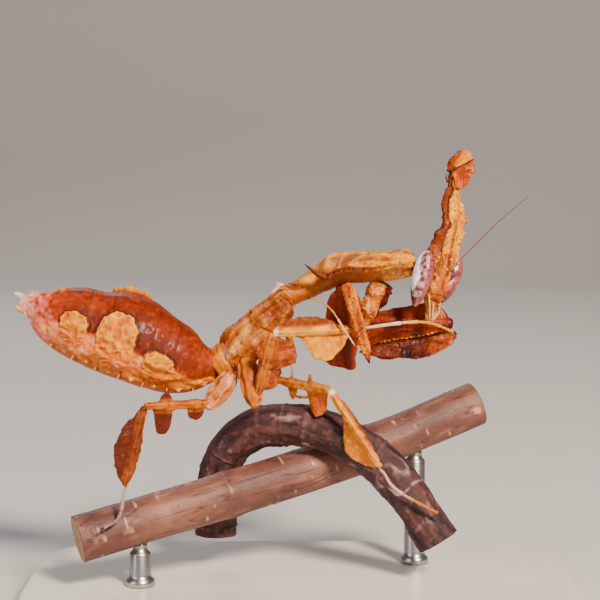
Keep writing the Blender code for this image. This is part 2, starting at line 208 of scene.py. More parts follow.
# --- Stand rods ---------------------------------------------------------------------------------------------
# Two short rods of brushed stainless steel, turned with a small foot where they stand in the plate and a
# narrowed neck where they are glued into the branch.

ROD_RUNS_ON = 0.9  # how far a rod goes on into the branch


def brushed_steel():
    """Stainless steel brushed round the rod: a neutral grey metal whose highlight is drawn out by fine turned
    lines about 0.1 mm apart."""
    material, tree, place = new_material("stainless_steel_turned")
    stretched = add(tree, "Mapping", {"Scale": (400, 400, 9000)}, {"Vector": place})
    lines = add(tree, "TexNoise", {"Scale": 1.0, "Detail": 2.0}, {"Vector": stretched})
    rough = add(tree, "MapRange", {"To Min": 0.22, "To Max": 0.40}, {"Value": lines})
    return finished(material, tree, {"Base Color": (*linear("#b9b7b3"), 1), "Metallic": 1.0},
                    {"Roughness": rough}, lines, 0.12, 0.02)


steel = brushed_steel()
for name in ("stand_rod_left", "stand_rod_right"):
    low, high = box(name)
    middle, radius = (low + high) / 2, (high[0] - low[0]) / 2
    # From the foot in the plate to the neck in the branch: how high, and how thick in rod radii.
    height = np.concatenate([low[2] - 0.3 + np.array([0, 0.01, 0.35, 0.55, 0.7, 0.95]),
                             high[2] - 0.2 + np.array([0.0, 0.12, 0.3, 0.6]), [high[2] + ROD_RUNS_ON]])
    reach = radius * np.array([0.3, 1.35, 1.35, 1.3, 1.08, 1.0, 1.0, 0.93, 0.7, 0.68, 0.66])
    turn = whole_turn(64)
    rod = np.stack([middle[0] + reach[:, None] * np.cos(turn), middle[1] + reach[:, None] * np.sin(turn),
                    height[:, None] + 0 * turn], axis=-1)
    skin(name + "_turned", rod, layered("#b9b7b3"), steel, [name])

# --- Perch --------------------------------------------------------------------------------------------------
# Two lengths of dead twig: a smooth pale branch held by the rods and a darker, ridged twig lying over it.
# Both are sawn off clean, so the pale wood and its rings show at the ends.


def solid_edges(node):
    """Both ends of every edge of a node's solid, in mm."""
    mesh = NODES[node].data
    places = np.empty(3 * len(mesh.vertices))
    mesh.vertices.foreach_get("co", places)
    ends = np.empty(2 * len(mesh.edges), int)
    mesh.edges.foreach_get("vertices", ends)
    return (places.reshape(-1, 3) / MM)[ends.reshape(-1, 2)]


def spot(node, *shares):
    """The point that lies at the given shares, 0 to 1, of a node's box along X, Y and Z, in mm."""
    low, high = box(node)
    return low + np.array(shares) * (high - low)


def smoothed(rows, passes):
    """Each row averaged with its neighbours, a quarter of each, as many times as asked; the ends stay."""
    rows = np.array(rows, float)
    for _ in range(passes):
        rows[1:-1] = 0.25 * rows[:-2] + 0.5 * rows[1:-1] + 0.25 * rows[2:]
    return rows


def walk(node, start, heading, step, reach):
    """The centreline of a bent rod. From the start it goes a step along the heading, cuts the solid square to
    it, moves to the middle of that cut, and takes the way it has come as part of its next heading."""
    edges = solid_edges(node)
    place, heading = np.array(start, float), unit(heading)
    path, sizes = [], []
    for _ in range(2000):
        guess = place + heading * step
        far = (edges - guess) @ heading
        cut = far[:, 0] * far[:, 1] < 0
        share = far[cut, 0] / (far[cut, 0] - far[cut, 1])
        points = edges[cut, 0] + share[:, None] * (edges[cut, 1] - edges[cut, 0])
        points = points[np.linalg.norm(points - guess, axis=1) < reach]
        if len(points) < 4:
            break
        side = unit(np.cross(heading, (0.3, 0.5, 0.8)))
        fan = np.linspace(0, math.pi, 9)[:-1, None]
        ways = np.cos(fan) * side + np.sin(fan) * np.cross(heading, side)
        spread = (points - guess) @ ways.T
        centre = guess + 2 * ((spread.max(0) + spread.min(0)) / 2 @ ways) / len(ways)
        heading = unit(0.7 * heading + 0.3 * unit(centre - place))
        place = centre
        path.append(place)
        sizes.append((spread.max(0) - spread.min(0)).mean() / 2)
    return path, sizes


def centreline(node, start, heading, step, reach, passes=14):
    """The whole centreline of a bent rod, from its back end to its front end, and its radius along it: two
    walks from one point inside it, joined and smoothed."""
    back, back_sizes = walk(node, start, -np.array(heading, float), step, reach)
    front, front_sizes = walk(node, start, heading, step, reach)
    path = smoothed(np.array(back[::-1] + front), passes)
    return path, smoothed(np.array(back_sizes[::-1] + front_sizes), passes)


def resampled(path, rows):
    """Points spread evenly by length along a path."""
    length = np.concatenate([[0], np.cumsum(np.linalg.norm(np.diff(path, axis=0), axis=1))])
    even = np.linspace(0, length[-1], rows)
    return np.stack([np.interp(even, length, path[:, axis]) for axis in range(3)], axis=-1), even


def directions(centres, up):
    """The run, side and upward unit vectors at each point of a path: the side is square to up and the run."""
    run = unit(np.gradient(centres, axis=0))
    side = unit(np.cross(up, run))
    return run, side, np.cross(run, side)


def tube(path, up, size, turn, tall=1.0):
    """A round tube, and the outward way at each of its points: each point of the path plus the way round it
    times its size there, given for each point of the path or also for each point round it."""
    _, side, upward = directions(path, up)
    ring = side[:, None] * np.cos(turn)[:, None] + tall * upward[:, None] * np.sin(turn)[:, None]
    return path[:, None] + ring * np.reshape(size, (len(path), -1, 1)), ring


def step_up(value, low, high):
    """A smooth step from 0 at low to 1 at high."""
    part = held((value - low) / (high - low))
    return part * part * (3 - 2 * part)


def bell(offset, width):
    """A bell curve: 1 where the offset is 0, and down to a third where it is one width."""
    return np.exp(-((offset / width) ** 2))


def cloud(points, size, seed=0):
    """Smooth random values from -1 to 1: a random value at each corner of cells of that size in mm, blended
    between the corners by a smooth step."""
    place = np.asarray(points) / size + 37.7 * seed
    cell = np.floor(place)
    part = place - cell
    part = part * part * (3 - 2 * part)
    total = 0
    for corner in np.ndindex(2, 2, 2):
        scrambled = np.sin((cell + corner) @ np.array([127.1, 311.7, 74.7])) * 43758.5453
        total = total + (2 * (scrambled - np.floor(scrambled)) - 1) * np.prod(
            np.where(corner, part, 1 - part), axis=-1)
    return total


def outward(grid):
    """The outward direction at each point of a closed grid: the step round it crossed with the step along."""
    around = np.roll(grid, -1, axis=1) - np.roll(grid, 1, axis=1)
    return unit(np.cross(around, np.gradient(grid, axis=0)))


def own_paint(tree, gamma):
    """The colour painted on the piece, deepened by a gamma."""
    paint = add(tree, "Attribute", {"attribute_name": "paint"}).outputs["Color"]
    return add(tree, "Gamma", {"Gamma": gamma}, {"Color": paint})


def mottled(tree, colour, noise, span, shades):
    """A colour multiplied by a noise, whose values over the span are spread from one shade to the other."""
    shade = add(tree, "MapRange", dict(zip(("From Min", "From Max", "To Min", "To Max"), span + shades)),
                {"Value": noise})
    mix = {"data_type": "RGBA", "blend_type": "MULTIPLY", 0: 1.0}
    return add(tree, "Mix", mix, {6: colour, 7: shade}).outputs[2]


def bark(name, finish):
    """Bark on a twig: the paint mottled darker and lighter in blotches of about 1 mm, a fine grain of 0.15
    mm, and a dry, dull surface whose bump is short fibres."""
    material, tree, place = new_material(name)
    blotch = add(tree, "TexNoise", {"Scale": 900.0, "Detail": 5.0, "Roughness": 0.65}, {"Vector": place})
    grain = add(tree, "TexNoise", {"Scale": 6500.0, "Detail": 3.0}, {"Vector": place})
    colour = mottled(tree, own_paint(tree, 1.4), blotch, (0.3, 0.7), (0.72, 1.22))
    rough = add(tree, "MapRange", {"To Min": finish - 0.1, "To Max": finish + 0.12}, {"Value": grain})
    return finished(material, tree, {"IOR": 1.45}, {"Base Color": colour, "Roughness": rough}, grain,
                    0.5, 0.06)


def sawn_twig(name, node, start, heading, shape, rows, columns, seed, relief, material):
    """A round twig cut square at both ends. The surface is the radius plus the relief, at each length along
    and angle round; each end face is a disc of rows that shrink to the middle, painted with growth rings."""
    path, sizes = centreline(node, start, heading, *shape)
    ends = np.stack([path[0] * 2 - path[2], path[-1] * 2 - path[-3]])
    path = np.concatenate([ends[:1] * 0.6 + path[:1] * 0.4, path, ends[1:] * 0.6 + path[-1:] * 0.4])
    centres, along = resampled(path, rows)
    centres = smoothed(centres, 1500)
    radius = smoothed(np.interp(along, np.linspace(0, along[-1], len(sizes)), sizes), 1200)[:, None]
    turn = whole_turn(columns)
    rolled = np.stack([along[:, None] + 0 * turn, radius * np.cos(turn), radius * np.sin(turn)], axis=-1)
    lift, paint = relief(rolled + 11.0 * seed, turn, along)
    body, _ = tube(centres, (0, 0, 1), radius + lift, turn)
    share = np.linspace(0.04, 0.97, 22)[:, None, None]
    discs = [centres[end] + (body[end] - centres[end]) * share for end in (0, -1)]
    rings = 0.5 + 0.5 * np.cos(2 * math.pi * (share[..., 0] * radius[0] / 0.19 + 0.5 * np.cos(turn + seed)))
    wood = layered(
        "#c39c72", (0.75 * rings ** 3, "#8d6440"), (share[..., 0] > 0.93, "#4b3029"),
        (held(0.2 - share[..., 0]) * 4, "#7a5334"))
    grid = np.concatenate([discs[0], body, discs[1][::-1]])
    return skin(name, grid, np.concatenate([wood, paint, wood[::-1]]), material, [node])


def branch_relief(rolled, turn, along):
    """Smooth young bark: long shallow ripples, shallow cracks where a stretched cloud crosses zero, small
    raised pores that lie across, and a slight swelling at two old leaf joints."""
    ripple = cloud(rolled * (0.22, 1, 1), 1.3)
    crack = 1 - np.abs(cloud(rolled * (0.10, 1, 1), 0.42, 1)) / 0.10
    pore = held(cloud(rolled * (1.9, 0.8, 0.8), 0.75, 2) - 0.58) / 0.3
    joint = sum(bell(along - at * along[-1], 0.8) for at in (0.36, 0.71))[:, None]
    lift = 0.05 * ripple - 0.035 * held(crack) + 0.05 * pore + 0.16 * joint * (0.6 + 0.4 * ripple)
    blotch = 0.5 + 0.8 * cloud(rolled * (0.5, 1, 1), 2.4, 3)
    paint = layered(
        "#7c5449", (blotch, "#9a6f60"), (0.7 * (cloud(rolled * (0.4, 1, 1), 0.6, 4) - 0.1), "#b88c7c"),
        # The cracks are painted dark: the bark's own darker cracks, deepened by painted shade.
        (0.75 * held(crack), "#55342d"), (pore, "#c9a592"), (0.5 * joint * (1 + ripple), "#6d473d"))
    return lift, paint


def twig_relief(rolled, turn, along):
    """Old bark: broken wavy ridges along the twig, torn by cross cracks, bud scars in narrow rings, and
    flakes of pale crust left on the ridges."""
    wander = cloud(rolled * (0.3, 0.5, 0.5), 1.6, 5)
    broken = step_up(cloud(rolled * (0.35, 0.7, 0.7), 1.2, 16), -0.35, 0.25)
    ridge = 0.45 * np.cos(9 * (turn + 0.5 * wander)) * broken + 0.75 * cloud(rolled * (0.3, 1, 1), 0.6, 6)
    tear = held(1 - np.abs(cloud(rolled * (0.8, 0.5, 0.5), 0.9, 7)) / 0.05) * step_up(ridge, -0.2, 0.4)
    lump, fine = cloud(rolled, 1.5, 18), cloud(rolled * (0.5, 1, 1), 0.22, 8)
    beat = (along / 3.1 + 0.35 * np.sin(along * 0.9)) % 1
    scar = bell(beat - 0.5, 0.06)[:, None] * step_up(lump, -0.5, 0.3)
    lift = 0.09 * ridge + 0.14 * lump + 0.05 * fine - 0.04 * tear + scar * (0.09 + 0.05 * ridge)
    crust = held(cloud(rolled * (0.45, 1, 1), 0.7, 9) + 0.5 * ridge + 0.35 * fine - 0.55) * 2.4
    # A net of pale lichen grows on the outer end, where the front foot stands.
    net = held(1 - np.abs(cloud(rolled * (0.7, 0.6, 0.6), 1.0, 21)) / 0.16) * step_up(fine + ridge, -0.8, 0.3)
    net = net * bell((along / along[-1])[:, None] - 0.85, 0.08)
    paint = layered(
        "#54322d", (0.5 + 0.9 * ridge, "#6e4640"), (0.7 * step_up(lump, -0.1, 0.5), "#63414a"),
        # The furrows between the ridges and the cross cracks are near black: the bark's own darker furrows,
        # deepened by painted shade.
        (0.9 * held(-ridge - 0.05), "#2a100d"), (0.8 * tear, "#22100d"),
        (0.5 * step_up(fine, 0.25, 0.7), "#8a5f57"), (0.75 * crust, "#a98d88"),
        (0.4 * scar * (1 + fine), "#8f6c62"), (0.85 * net, "#c9b8bc"))
    return lift, paint


sawn_twig("perch_branch_bark", "perch_branch", spot("perch_branch", 0.5, 0.5, 0.5), (3, 1, 0.9), (0.5, 3.0),
          430, 150, 1, branch_relief, bark("smooth_twig_bark", 0.55))
sawn_twig("perch_twig_bark", "perch_twig", spot("perch_twig", 0.37, 0.55, 0.85), (1, -0.3, 0.05), (0.4, 2.6),
          480, 160, 2, twig_relief, bark("ridged_twig_bark", 0.72))

# --- Abdomen ------------------------------------------------------------------------------------------------
# The long, swollen hind body: ten horny back plates over a softer pleated side and a belly strip. Three
# leafy, crinkled flaps stand out along each side. The whole is turned a little, its back towards the right.

ABDOMEN_ROLL = math.radians(22)
SEGMENTS = 9
# Each flap: how far along from the tail, half its length, how far round from the middle of the back in
# degrees, on the right and the left alike, half its width round, and how far it stands out, in mm.
FLAPS = [(0.283, 1.25, 62, 0.90, 0.42), (0.482, 1.70, 61, 1.75, 0.55), (0.689, 1.35, 80, 1.00, 0.40)]


def cuts(edges, axis, run):
    """Cuts a solid's edges square to the run at each axis point: whether each edge is met, and where, as seen
    from that axis point."""
    far = (edges @ run)[None] - (axis @ run)[:, None, None]
    met = far[..., 0] * far[..., 1] < 0
    share = far[..., 0] / np.where(met, far[..., 0] - far[..., 1], 1)
    return met, edges[:, 0] + share[..., None] * (edges[:, 1] - edges[:, 0]) - axis[:, None]


def sections(node, start, end, up, rows, passes=12):
    """Cuts a solid square to a straight axis at evenly spaced rows. Gives the axis points, its run, side and
    up directions, and a table of how far the solid reaches at each row: to the side's minus and plus ends,
    then below and above. Rows beyond the solid repeat the nearest cut."""
    run = unit(end - start)
    side = unit(np.cross(up, run))
    upward = np.cross(run, side)
    axis = start + np.linspace(0, 1, rows)[:, None] * (end - start)
    cut, place = cuts(solid_edges(node), axis, run)
    reaches = []
    for way in (side, upward):
        spread = place @ way
        reaches += [np.where(cut, spread, np.inf).min(1), np.where(cut, spread, -np.inf).max(1)]
    reaches = np.array(reaches).T
    met = np.isfinite(reaches[:, 0]) & (cut.sum(1) > 3)
    row = np.arange(rows)
    reaches = np.stack([np.interp(row, row[met], reaches[met, k]) for k in range(4)], axis=-1)
    return axis, run, side, upward, smoothed(reaches, passes)


def cuticle(name, finish, gloss, mottle, grain, depth):
    """Horny insect skin: the paint broken up by mottling of the given size in mm, a fine pitted grain, and a
    thin waxy sheen over it that makes small soft highlights."""
    material, tree, place = new_material(name)
    blotch = add(tree, "TexNoise", {"Scale": 1 / (mottle * MM), "Detail": 5.0, "Roughness": 0.62},
                 {"Vector": place})
    pits = add(tree, "TexVoronoi", {"Scale": 1 / (grain * MM)}, {"Vector": place})
    fine = add(tree, "TexNoise", {"Scale": 1.7 / (grain * MM), "Detail": 3.0, "Roughness": 0.7},
               {"Vector": place})
    colour = mottled(tree, own_paint(tree, 1.5), blotch, (0.3, 0.7), (0.80, 1.17))
    warm = add(tree, "HueSaturation", {"Hue": 0.507, "Saturation": 1.16}, {"Color": colour})
    colour = mottled(tree, warm, fine, (0.30, 0.75), (0.80, 1.12))
    rough = add(tree, "MapRange", {"To Min": finish - 0.1, "To Max": finish + 0.14}, {"Value": blotch})
    heights = add(tree, "Math", {"operation": "MULTIPLY_ADD", 1: 0.45},
                  {0: pits.outputs["Distance"], 2: fine})
    settings = {"IOR": 1.54, "Specular IOR Level": 0.14, "Coat Weight": gloss, "Coat Roughness": 0.22,
                "Subsurface Weight": 0.12, "Subsurface Radius": (1.0, 0.45, 0.25),
                "Subsurface Scale": 0.3 * MM}
    return finished(material, tree, settings, {"Base Color": colour, "Roughness": rough}, heights, 0.6, depth)


def rounding(past, least):
    """The round-off of an end, to multiply a size by: the root of 1 less the square of how far into it."""
    return np.sqrt(np.clip(1 - held(past) ** 2, least, 1))


plate_skin = cuticle("horny_cuticle", 0.5, 0.09, 1.1, 0.16, 0.05)
low, high = box("abdomen")
tail = spot("abdomen", 0.0, 0.5, 0.78) - (0.60, 0, 0)
waist = np.array([high[0] + 0.9, 0.0, low[2] + 2.15])
rows, columns = 350, 272
axis, run, side, upward, reaches = sections("abdomen", tail, waist, (0, 0, 1), rows, 20)
s = np.linspace(0, 1, rows)
length = np.linalg.norm(waist - tail)
turn = whole_turn(columns)
centre = axis + upward * (reaches[:, 2] + reaches[:, 3])[:, None] / 2
round_off = rounding((0.020 - s) / 0.021, 0.01) * rounding((s - 0.955) / 0.046, 0.01)
slim = bell(s - 0.80, 0.20)
centre = centre - upward * (0.22 * slim)[:, None]
half_height = (reaches[:, 3] - reaches[:, 2]) / 2 * round_off * (1 - 0.07 * slim)
# The last segment ends in a short blunt cone whose top runs level.
half_height = np.maximum(half_height, 1.02 * np.sqrt(s * length + 0.002) * (s < 0.12))
half_height = smoothed(half_height, 8)
centre = centre + upward * (0.75 * bell(s * length, 1.3))[:, None]
# Round the section: 0 in the middle of the back and growing down the right side.
body = (centre[:, None] - side * (0.96 * half_height[:, None] * np.sin(turn))[..., None]
        + upward * (half_height[:, None] * np.cos(turn))[..., None])
# Where each point lies on the insect's own round: degrees from its back's middle line, right positive.
own = np.degrees((turn - ABDOMEN_ROLL + math.pi) % (2 * math.pi) - math.pi)
out = outward(body)
S, OWN = s[:, None], own[None] + 0 * s[:, None]
from_back = np.abs(OWN)
arc = np.radians(1) * half_height[:, None]
big = cloud(body, 1.9, 7)
wrinkle = cloud(body * (0.7, 1, 1), 0.62, 1)
small = cloud(body, 0.30, 2)
fine = cloud(body, 0.15, 12)
flap, crest, rim, painted_rim_shadow, frill = 0, 0, 0, 0, 0
for at, half_length, angle, half_width, stands in FLAPS:
    for right in (1, -1):
        along = (S - at) * length / half_length
        around = (right * OWN - angle - 26 * (right < 0) * (at < 0.3)) * arc / half_width
        bearing = np.arctan2(along, -around)
        ragged = (0.07 * cloud(body, 0.8, 3 + at * 10) + 0.035 * np.sin(9 * bearing + at * 40)
                  + 0.02 * np.sin(21 * bearing + at * 9))
        distance = np.abs(along) ** 2.3 + np.abs(np.where(around < 0, around, 0.5 * around)) ** 2.3
        distance = distance ** (1 / 2.3) + ragged
        leaf = step_up(-distance, -1.0, -0.90)
        # It stands out most along its upper rim and sinks into the pleated side below.
        standing = stands * leaf * (0.30 + 0.70 * step_up(-around, -0.7, 0.7))
        crest = np.maximum(crest, standing * (0.55 + 0.45 * step_up(distance, 0.2, 0.9)))
        # Folds fan out from the root at the flap's lower edge.
        folds = np.cos(11 * np.arctan2(along + 0.25 * wrinkle, 1.35 - around) + 3.0 * at * 10 + 2.2 * wrinkle)
        frill = frill + leaf * folds * step_up(distance, 0.1, 0.8)
        flap = np.maximum(flap, leaf * (1 - step_up(around, 0.55, 1.25)))
        rim = np.maximum(rim, bell(distance - 0.90, 0.07) * (around < 0.7))
        # Just outside each flap's upper rim runs a band of painted shadow, where the rim stands off the body.
        painted_rim_shadow = np.maximum(painted_rim_shadow, bell(distance - 1.08, 0.09) * step_up(0.5 - around, 0, 0.3))
edge_wander = 7 * big + 4 * wrinkle
belly = step_up(from_back + 0.5 * edge_wander, 108, 116)
pleat = step_up(from_back + edge_wander, 60 + 24 * S, 70 + 24 * S) * (1 - belly)
back = 1 - step_up(from_back + edge_wander, 58 + 24 * S, 70 + 24 * S)
beat = (S * (SEGMENTS + 0.4)) % 1
groove = bell(beat - 0.04, 0.045) + bell(beat - 1.04, 0.045)
crinkle = 1 - 2.4 * np.abs(cloud(body * (0.9, 1, 1.3), 0.55, 6))
knob = bell(beat - 0.5, 0.10) * bell(from_back - 119, 4.0)
bump_top = bell((S - 0.19) * length, 0.28) * bell(OWN * arc, 0.30)
lift = (crest + flap * (0.07 * crinkle + 0.03 * small) + 0.05 * frill + 0.06 * pleat * wrinkle
        + 0.07 * pleat * crinkle - 0.035 * groove * (1 - flap) * (0.7 + 0.5 * wrinkle) + 0.04 * bell(OWN, 4)
        + 0.05 * big + 0.02 * small * (1 - flap) + 0.012 * fine + 0.16 * knob * (1 + wrinkle)
        + 0.30 * bump_top + 0.08 * bell(from_back - 117, 4.0) * (0.6 + wrinkle))
grid = body + out * (lift * step_up(S, 0.0, 0.08) * (1 - 0.8 * step_up(S, 0.93, 1.0)))[..., None]
tail_pale = 1 - step_up(S + 0.05 * wrinkle, 0.09, 0.25)
streak = step_up(cloud(body * (1.1, 0.7, 0.7), 1.0, 9) + 0.35 * small, 0.42, 0.75)
streak = streak * (back + 0.6 * pleat) * (1 - flap) * step_up(from_back, 30, 60) * (1 - step_up(S, 0.75, 0.9))
paint = layered(
    "#9c3810", (0.5 + 0.9 * big, "#b0481a"),
    (0.75 * back * bell(OWN - 62, 26) * step_up(S, 0.1, 0.3), "#842a0d"),
    (back * step_up(S, 0.70, 1.0) * 0.8, "#b85a22"), (0.5 * back * bell(OWN, 10), "#7c260a"),
    (0.55 * groove * back * (0.5 + 0.6 * wrinkle), "#6d2009"),
    (0.5 * back * step_up(small, 0.2, 0.7), "#c8602f"), (0.45 * back * step_up(-small, 0.2, 0.7), "#74260c"),
    (pleat * (0.9 + 0.3 * wrinkle), "#ec9c6c"),
    (pleat * step_up(small + 0.5 * wrinkle, 0.1, 0.6) * 0.7, "#ffd9b4"),
    (0.55 * pleat * held(-wrinkle - 0.15) * 1.6, "#c66c38"),
    (0.6 * pleat * step_up(big, 0.1, 0.5), "#f4b2a0"), (belly, "#dd7a2a"),
    (0.75 * belly * held(wrinkle + 0.1), "#f2a040"), (0.5 * belly * step_up(-small, 0.1, 0.6), "#a04a17"),
    (0.8 * belly * groove, "#6d2a10"), (0.8 * knob, "#f6dcc0"),
    (0.7 * bell(from_back - 117, 3) * held(wrinkle + 0.3), "#f4c8a0"),
    # Painted shadow: a dark band just outside each flap's upper rim, over the back.
    (0.75 * painted_rim_shadow * (1 - flap) * back, "#5a1c0b"), (flap, "#e0883f"),
    (flap * held(frill) * 0.5, "#fbc47a"), (flap * held(-frill) * 0.45, "#b65c1f"),
    (flap * held(crinkle - 0.3), "#fdd592"), (0.5 * flap * step_up(-small, 0.2, 0.7), "#b0561f"),
    (0.75 * rim * flap, "#f4b46a"), (0.45 * streak, "#e6a596"),
    (0.6 * pleat * (1 - step_up(S, 0.2, 0.5)) * (0.8 + 0.5 * small), "#f6c0ac"),
    (0.95 * tail_pale * (0.75 + 0.6 * small), "#efaaa8"),
    (0.7 * (1 - step_up(S, 0.03, 0.10)) * (0.8 + 0.5 * small), "#fadcd2"), (0.8 * bump_top, "#f0b9a2"))
skin("abdomen_skin", grid, paint, plate_skin, ["abdomen"])
for number, at in enumerate((0.20, 0.31, 0.42, 0.53, 0.64, 0.75, 0.86)):
    # Short pale spines hang from the edge of the belly strip on each side.
    reach = 0.34 + 0.10 * math.sin(50 * at)
    for label, degrees in (("right", 119), ("left", -119)):
        row, column = int(at * rows), int(np.argmin(np.abs(own - degrees)))
        root, away = grid[row, column], out[row, column]
        s = np.linspace(0, 1, 12)[:, None]
        path = root - away * 0.1 + s * (away * reach + (-0.07, 0, -0.12))
        spine, _ = tube(path, (1, 0, 0.1), 0.085 * (1 - s) ** 0.8 + 0.012, whole_turn(12))
        skin(f"belly_spine_{label}_{number + 1}", spine, layered("#d98c64", (s, "#f4cdb0")), plate_skin)

# --- Waist --------------------------------------------------------------------------------------------------
# The soft sleeve of folded skin that joins the abdomen to the thorax and lets the hind body swing.


def soft_sleeve(name, start, end, radii, pleats, seed, colours, tall=1.0):
    """A sleeve between two plates: its radius runs evenly from the first to the second and is ribbed by
    pleats that wander a little, as soft skin folds."""
    s = np.linspace(0, 1, 120)[:, None]
    path, radius = start + s * (end - start), radii[0] + (radii[1] - radii[0]) * s
    sleeve, ring = tube(path, (0, 0, 1), radius, whole_turn(110), tall)
    lump, small = cloud(sleeve, 0.8, seed), cloud(sleeve, 0.3, seed + 1)
    fold = np.abs(np.sin(math.pi * s * pleats + 1.2 * lump))
    sleeve = sleeve + ring * (0.04 * fold + 0.12 * lump + 0.05 * small)[..., None]
    # The second colour, darker, is painted shade in the pleat valleys.
    paint = layered(colours[0], (0.4 * (1 - fold), colours[1]), (0.9 * held(lump + 0.5 * small), colours[2]))
    skin(name, sleeve, paint, plate_skin)


thorax_low = box("thorax")[0]
soft_sleeve("waist_sleeve", waist - (1.3, 0, -0.15), thorax_low + (1.9, -thorax_low[1], 1.55), (1.18, 1.35),
            6, 15, ("#cd7f52", "#8f4422", "#efb98e"), 1.12)

# --- Cerci --------------------------------------------------------------------------------------------------
# The two short tail feelers: soft pale cones of a few bead-like rings, set in the tip of the abdomen.

for name, hand, droop in (("cercus_left", 1, (0, 0, 0)), ("cercus_right", -1, (0.35, 0, -0.50))):
    corners = solid_edges(name).reshape(-1, 3)
    tip = corners[np.argmin(corners[:, 0])] + droop
    root = tail + (0, 0, 0.35) + np.array((1.2, 0.25 * hand, 0.32 * hand))
    s = np.linspace(0, 1, 70)[:, None]
    path = root + s * (tip - root) + hand * np.sin(s * math.pi * 0.8) * (0, 0.05, 0.10)
    bead = 0.85 + 0.15 * np.abs(np.cos(math.pi * 6 * s))
    radius = 0.50 * bead * (1 - 0.66 * s ** 0.8) * np.sqrt(1 - s ** 8 + 1e-4)
    cone, _ = tube(path, (0, 0, 1), radius, whole_turn(28))
    paint = layered(
        "#fbeee4" if hand > 0 else "#f2c4ae", (1 - 1.4 * s, "#e8a08e"), ((bead < 0.9) * 0.35, "#c99a90"))
    skin(name + "_skin", cone, paint, plate_skin, [name])

# --- Thorax -------------------------------------------------------------------------------------------------
# The short box that carries the four walking legs: two horny rings, keeled along the back and lumpy with
# muscle on the sides, joined to the abdomen by a narrow folded waist.

thorax_start = np.array([waist[0] - 0.35, 0.0, waist[2] + 0.15])
thorax_end = spot("thorax", 0.93, 0.5, 0.97)
rows, columns = 260, 220
axis, run, side, upward, reaches = sections("thorax", thorax_start, thorax_end, (0, 0, 1), rows, 30)
s, turn = np.linspace(0, 1, rows), whole_turn(columns)
centre = axis + upward * (reaches[:, 2] + reaches[:, 3])[:, None] / 2
half_wide = (reaches[:, 1] - reaches[:, 0]) / 2
half_tall = (reaches[:, 3] - reaches[:, 2]) / 2
round_off = rounding((0.05 - s) / 0.052, 0.01)
half_wide = half_wide * round_off * (1 - 0.07 * bell(s - 0.55, 0.05))
half_tall = half_tall * round_off * (1 - 0.05 * bell(s - 0.55, 0.05))
body = (centre[:, None] - side * (half_wide[:, None] * np.sin(turn))[..., None]
        + upward * (half_tall[:, None] * np.cos(turn))[..., None])
out = outward(body)
S = s[:, None] + 0 * turn
angle = np.degrees((turn + math.pi) % (2 * math.pi) - math.pi)[None] + 0 * S
big, lump = cloud(body, 1.4, 24), cloud(body, 0.8, 21)
small, fine = cloud(body, 0.36, 22), cloud(body, 0.16, 23)
keel = bell(angle, 6)
# Long wavy ridges run from plate to plate along the sides; bosses stand over the leg sockets.
ridge = 0
for at, wander, phase, strength in ((38, 7, 0.3, 1.0), (66, 9, 1.4, 0.7), (92, 8, 2.6, 0.9),
                                    (122, 6, 4.0, 0.6)):
    course = at + wander * np.sin(6.5 * S + phase) + 5 * lump
    ridge = ridge + strength * bell(np.abs(angle) - course, 5.5) * (0.75 + 0.35 * lump)
boss = sum(bell(S - at, 0.055) * bell(np.abs(angle) - up, 15)
           for at, up in ((0.20, 78), (0.38, 108), (0.62, 82), (0.80, 112)))
plate_edge = bell(S - 0.55 - 0.03 * np.cos(np.radians(angle) * 3), 0.014)
lift = (0.15 * big + 0.11 * lump + 0.035 * small + 0.015 * fine + 0.16 * keel * (0.7 + 0.4 * small)
        + 0.17 * ridge + 0.22 * boss * (0.8 + 0.5 * small) - 0.09 * plate_edge * (0.6 + 0.6 * lump))
grid = body + out * (lift * step_up(S, 0, 0.03) * step_up(1 - S, 0, 0.02))[..., None]
# A painted highlight: a pale band along the upper side ridge over the front half, where the lamp catches it.
painted_ridge_highlight = bell(angle - 62 - 18 * np.cos(3 * S), 11) * step_up(S, 0.05, 0.15) * (1 - step_up(S, 0.42, 0.6))
paint = layered(
    "#a8644a", (0.45 + 0.9 * big, "#c28468"), (0.75 * held(-lump), "#96523a"),
    (0.6 * step_up(lump, 0.2, 0.7), "#d8a080"), (0.65 * held(ridge) + 0.5 * keel, "#dca684"),
    (0.7 * painted_ridge_highlight * (0.65 + 0.6 * small), "#f6cfa0"), (0.6 * boss, "#e4b090"), (0.6 * plate_edge, "#80452a"),
    (0.75 * bell(S - 0.10, 0.06) * bell(angle - 62, 14), "#c3b3b6"),
    (0.55 * step_up(np.abs(angle), 125, 150), "#9c4a22"),
    (0.5 * step_up(-small - 0.3 * lump, 0.25, 0.6), "#80452a"), (0.35 * step_up(fine, 0.3, 0.8), "#f3c493"))
skin("thorax_skin", grid, paint, plate_skin, ["thorax"])

# --- Pronotum -----------------------------------------------------------------------------------------------
# The long first ring, which carries the forelegs: a narrow stalk that widens into a thin flared shield with a
# keel down its middle, toothed dark edges and a sharp spine drawn back from each rear corner.

rows, columns = 330, 240
roll = (0.0, 0.1, 0.995)
corners = solid_edges("pronotum").reshape(-1, 3)
spine_tips = {sign: (wide := corners[sign * corners[:, 1] > 1.3])[np.argmin(wide[:, 0])] for sign in (-1, 1)}
stalk = corners[corners[:, 0] < corners[:, 0].min() + 0.25].mean(0) - (0.55, 0, 0.35)
front = corners[corners[:, 0] > corners[:, 0].max() - 0.25].mean(0) + (0.60, 0, -0.15)
axis, run, side, upward, reaches = sections("pronotum", stalk, front, roll, rows, 10)
s = np.linspace(0, 1, rows)
shield_from = (spine_tips[-1][0] + 1.55 - stalk[0]) / (front[0] - stalk[0])
shield = step_up(s, shield_from - 0.05, shield_from + 0.06)
# The solid's front face slants, so the last whole cut is carried on to the front edge.
reaches[int(0.88 * rows):] = reaches[int(0.88 * rows)]
